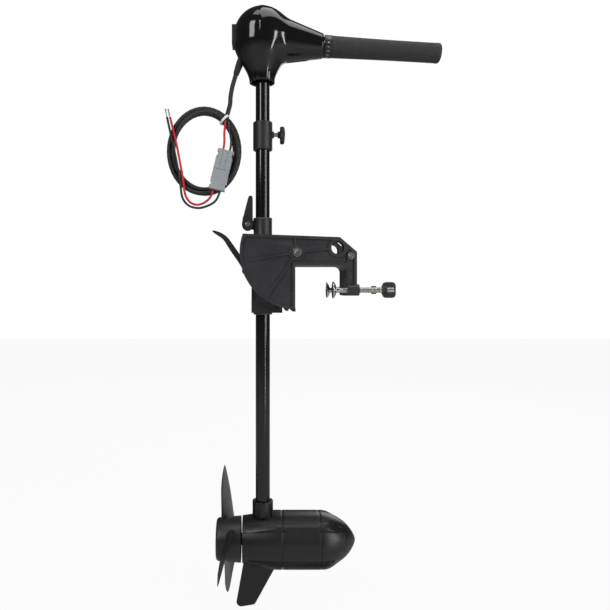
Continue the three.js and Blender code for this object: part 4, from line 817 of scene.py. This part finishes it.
refined("tilt_carrier", CAST_DARK, bevel=0.8, segments=2, angle=40)
bush_top = softened([(13.0, 127.7), (16.7, 127.7), (16.7, 124.6), (14.3, 124.6), (14.3, 90.3),
                     (13.0, 90.3)], 0.4)
bush_foot = softened([(13.0, -43.4), (16.7, -43.4), (16.7, -40.3), (14.3, -40.3), (14.3, -6), (13.0, -6)],
                     0.4)
for name, profile in (("upper_bush", bush_top), ("lower_bush", bush_foot)):
    piece = revolve(name + "_skin", profile)
    finished(piece, NYLON, "bushes")
    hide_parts(name)
refined("cam_lever", CAST_DARK, bevel=1.0, segments=3, angle=40)
refined("tilt_lever", CAST_DARK, bevel=1.2, segments=3, angle=40)
refined("cam_pin", STAINLESS, bevel=0.4)
in_place("tilt_lever_pin", STAINLESS)

# ---------------------------------------------------------------------------------------------------
# Motor pod


def pod_radius(x):
    x = np.asarray(x, dtype=float)
    t_rear = np.clip((x + 36) / 70, 0, 1)
    rear = 39.6 + (45.8 - 39.6) * np.sin((math.pi / 2) * t_rear)
    t_nose = np.clip((x - 101) / 63, 0, 1)
    nose = 45.8 * np.clip(1 - t_nose ** 2, 0, 1) ** 0.7
    return np.where(x <= 34, rear, np.where(x <= 101, 45.8, nose))


def rib_rise(x):
    x = np.asarray(x, dtype=float)
    ramp = np.clip((x + 29) / 54, 0, 1)
    fade = 1 - smoothstep(x, 101, 136)
    return np.where(x < 25, ramp, fade)


def pod_surface(x, angles):
    """Radius of the pod's skin round one station: the body with its four ribs blended in."""
    body = float(pod_radius(x))
    envelope = body - 0.5 + (52 - body + 0.5) * float(rib_rise(x))
    offset = angles % (math.pi / 2) - math.pi / 4
    sine = np.abs(np.sin(offset))
    inside = 49 - (46 * sine) ** 2
    bar = np.where(inside > 0, 46 * np.cos(offset) + np.sqrt(np.maximum(inside, 0)), 30)
    rib = np.minimum(bar, envelope)
    soft = 1.2
    return np.where(rib > body - 4, np.logaddexp(body / soft, rib / soft) * soft - 0.02, body)


def pod_piece(name, x0, x1, rows, inner, node, nose=False):
    sides = 288
    angles = np.arange(sides) * 2 * math.pi / sides
    share = np.linspace(0, 1, rows)
    stations = x0 + (x1 - x0) * (np.sin(share * math.pi / 2) if nose else share)
    rings = []
    edge = 0.35
    for i, x in enumerate(stations):
        r = pod_surface(x, angles)
        if i == 0 or (i == rows - 1 and not nose):
            r = r - edge
        r = np.maximum(r, 0.02)
        rings.append(array_P(np.stack([np.full(sides, x), r * np.cos(angles),
                                       MOTOR_Z + r * np.sin(angles)], 1)))
    start = array_P(np.stack([np.full(sides, x0), inner * np.cos(angles),
                              MOTOR_Z + inner * np.sin(angles)], 1))
    rings = [start] + rings
    if not nose:
        rings.append(array_P(np.stack([np.full(sides, x1), inner * np.cos(angles),
                                       MOTOR_Z + inner * np.sin(angles)], 1)))
    obj = skin(name, rings, caps=(False, nose))
    finished(obj, POD, "shaft", smooth=38)
    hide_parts(node)
    return obj


pod_piece("pod_rear", -36, 33.7, 60, 5.4, "motor_rear_housing")
pod_piece("pod_middle", 34.3, 100.7, 24, 38, "motor_middle_housing")
pod_piece("pod_nose", 101.3, 164, 60, 38, "motor_nose", nose=True)

socket_profile = softened([(13.0, -401), (18.3, -401), (18.3, -374), (13.0, -374)], 0.9)
socket = revolve("pod_socket", socket_profile)
finished(socket, POD, "shaft")


def skeg():
    """Fin under the rear bell, with a rounded leading and trailing edge."""
    corner = 9
    outline = [(25, -440), (25, -485), (24.5, -489)]
    foot = -563
    front = [(-11 - corner + corner * math.cos(a), foot + corner + 3 + corner * math.sin(a))
             for a in np.radians(np.linspace(325, 275, 8))]
    rear = [(-47 + corner + corner * math.cos(a), foot + corner + corner * math.sin(a))
            for a in np.radians(np.linspace(268, 185, 8))]
    outline = outline + front + rear + [(-34, -483), (-34, -440)]
    points = []
    for y in (-3, 3):
        points += [P(x, y, z) for x, z in outline]
    count = len(outline)
    faces = [tuple(range(count)), tuple(range(2 * count - 1, count - 1, -1))]
    faces += [(i, (i + 1) % count, count + (i + 1) % count, count + i) for i in range(count)]
    obj = outward(new_mesh("pod_skeg", points, faces))
    modifier = obj.modifiers.new("edges", "BEVEL")
    modifier.width = 0.0024
    modifier.segments = 5
    modifier.limit_method = "ANGLE"
    modifier.angle_limit = math.radians(50)
    return finished(obj, POD, "shaft", smooth=40)


skeg()
for i, angle in enumerate((45, 135, 225, 315)):
    a = math.radians(angle)
    place = (-4, 45.0 * math.cos(a), MOTOR_Z + 45.0 * math.sin(a))

for name, material in (("magnet_right", FERRITE), ("magnet_left", FERRITE), ("brush_plate", NYLON),
                       ("rear_bearing", STEEL), ("front_bearing", STEEL), ("shaft_seal", SEAL),
                       ("armature", COPPER), ("motor_shaft", STEEL)):
    in_place(name, material)

# ---------------------------------------------------------------------------------------------------
# Propeller

hub_profile = softened([(5.3, -70), (10, -70), (10, -80), (13, -82), (33, -82), (36, -79), (39, -38.5),
                        (35, -38.5),
                        (32, -77), (12, -66), (12, -41.5), (5.3, -41.5)], 0.7)
hub = revolve("prop_hub", hub_profile, "X", (0, 0, MOTOR_Z), sides=120)
finished(hub, BLADE, "rotor")
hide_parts("propeller")


def blade_points(turned):
    shares = np.concatenate([np.linspace(0, 0.9, 30),
                             0.9 + 0.1 * np.sin(np.linspace(0.1, math.pi / 2, 14))])
    section = 44
    rings = []
    for share in shares:
        radius = 34 + (130 - 34) * share
        swell = math.sin(math.pi * min(0.16 + share * 0.5, 1))
        rounding = max(1 - max((share - 0.5) / 0.5, 0) ** 2, 0.0008) ** 0.75
        chord = (46 + (92 - 46) * min(swell, 1) ** 1.6) * rounding
        pitch = math.atan(95 / (2 * math.pi * radius))
        thickness = (5.6 + (1.4 - 5.6) * share) * max(rounding, 0.3)
        angle = np.arange(section) * 2 * math.pi / section
        across = chord / 2 * np.cos(angle)
        camber = 2.6 * (1 - np.cos(angle) ** 2) * (chord / 92)
        lift = thickness / 2 * np.sin(angle) * (1 - 0.25 * np.cos(angle)) + camber * 0.4
        x = -61 - 10 * share + across * math.sin(pitch) + lift * math.cos(pitch)
        turn = (across * math.cos(pitch) - lift * math.sin(pitch)) / radius
        local = np.stack([x, -radius * np.cos(turn), radius * np.sin(turn)], 1)
        c, s = math.cos(turned), math.sin(turned)
        y, z = local[:, 1].copy(), local[:, 2].copy()
        local[:, 1], local[:, 2] = y * c - z * s, y * s + z * c + MOTOR_Z
        rings.append(array_P(local))
    return rings


for i in range(3):
    one = skin(f"prop_blade_{i}", blade_points(-2 * math.pi * i / 3), caps=(True, True))
    finished(one, BLADE, "rotor", smooth=60)
refined("prop_nut", STAINLESS, bevel=0.5)
in_place("drive_pin", STAINLESS)

# ---------------------------------------------------------------------------------------------------
# Stage and light

low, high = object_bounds()
floor_z = low[2] - 0.02


def stage_material(name, lit, seen):
    n = Nodes(name)
    n.tree.nodes.remove(n.shader)
    path = n.node("ShaderNodeLightPath")
    diffuse = n.node("ShaderNodeBsdfDiffuse")
    diffuse.inputs["Color"].default_value = (lit, lit, lit, 1)
    emission = n.node("ShaderNodeEmission")
    emission.inputs["Color"].default_value = (1, 1, 1, 1)
    emission.inputs["Strength"].default_value = 1
    mix = n.node("ShaderNodeMixShader")
    n.link(n.math("MULTIPLY", path.outputs["Is Camera Ray"], seen), mix.inputs[0])
    n.link(diffuse.outputs[0], mix.inputs[1])
    n.link(emission.outputs[0], mix.inputs[2])
    n.link(mix.outputs[0], n.output.inputs["Surface"])
    return n.material


floor = new_mesh("floor", [(-6, -6, floor_z), (6, -6, floor_z), (6, 6, floor_z), (-6, 6, floor_z)],
                 [(0, 1, 2, 3)])
floor.data.materials.append(stage_material("floor white", 0.6, 0.94))

world = bpy.data.worlds.new("studio")
bpy.context.scene.world = world
world.use_nodes = True
tree = world.node_tree
background = tree.nodes["Background"]
seen_background = tree.nodes.new("ShaderNodeBackground")
seen_background.inputs["Color"].default_value = (1, 1, 1, 1)
seen_background.inputs["Strength"].default_value = 1
background.inputs["Color"].default_value = (0.96, 0.97, 1.0, 1)
background.inputs["Strength"].default_value = 0.25
path = tree.nodes.new("ShaderNodeLightPath")
mix = tree.nodes.new("ShaderNodeMixShader")
dim_background = tree.nodes.new("ShaderNodeBackground")
dim_background.inputs["Color"].default_value = (0.96, 0.97, 1.0, 1)
dim_background.inputs["Strength"].default_value = 0.07
glossy_mix = tree.nodes.new("ShaderNodeMixShader")
tree.links.new(path.outputs["Is Glossy Ray"], glossy_mix.inputs[0])
tree.links.new(background.outputs[0], glossy_mix.inputs[1])
tree.links.new(dim_background.outputs[0], glossy_mix.inputs[2])
tree.links.new(path.outputs["Is Camera Ray"], mix.inputs[0])
tree.links.new(glossy_mix.outputs[0], mix.inputs[1])
tree.links.new(seen_background.outputs[0], mix.inputs[2])
tree.links.new(mix.outputs[0], tree.nodes["World Output"].inputs["Surface"])


def softbox(name, place, target, width, height, power):
    data = bpy.data.lights.new(name, "AREA")
    data.shape = "RECTANGLE"
    data.size = width
    data.size_y = height
    data.energy = power
    obj = bpy.data.objects.new(name, data)
    bpy.context.scene.collection.objects.link(obj)
    obj.location = place
    direction = Vector(target) - Vector(place)
    obj.rotation_euler = direction.to_track_quat("-Z", "Y").to_euler()
    return obj


middle = (Vector(low) + Vector(high)) / 2
softbox("key", middle + Vector((-1.6, -1.9, 1.5)), middle, 0.8, 1.6, 30)
softbox("fill", middle + Vector((2.2, -1.5, 0.6)), middle, 0.7, 1.8, 22)
softbox("top", middle + Vector((0.2, -0.2, 2.0)), middle, 1.6, 1.2, 16)
softbox("strip", middle + Vector((1.2, -1.5, 0.1)), middle, 0.14, 2.2, 12)
softbox("rim", middle + Vector((0.9, 2.2, 0.8)), middle, 1.4, 1.6, 14)
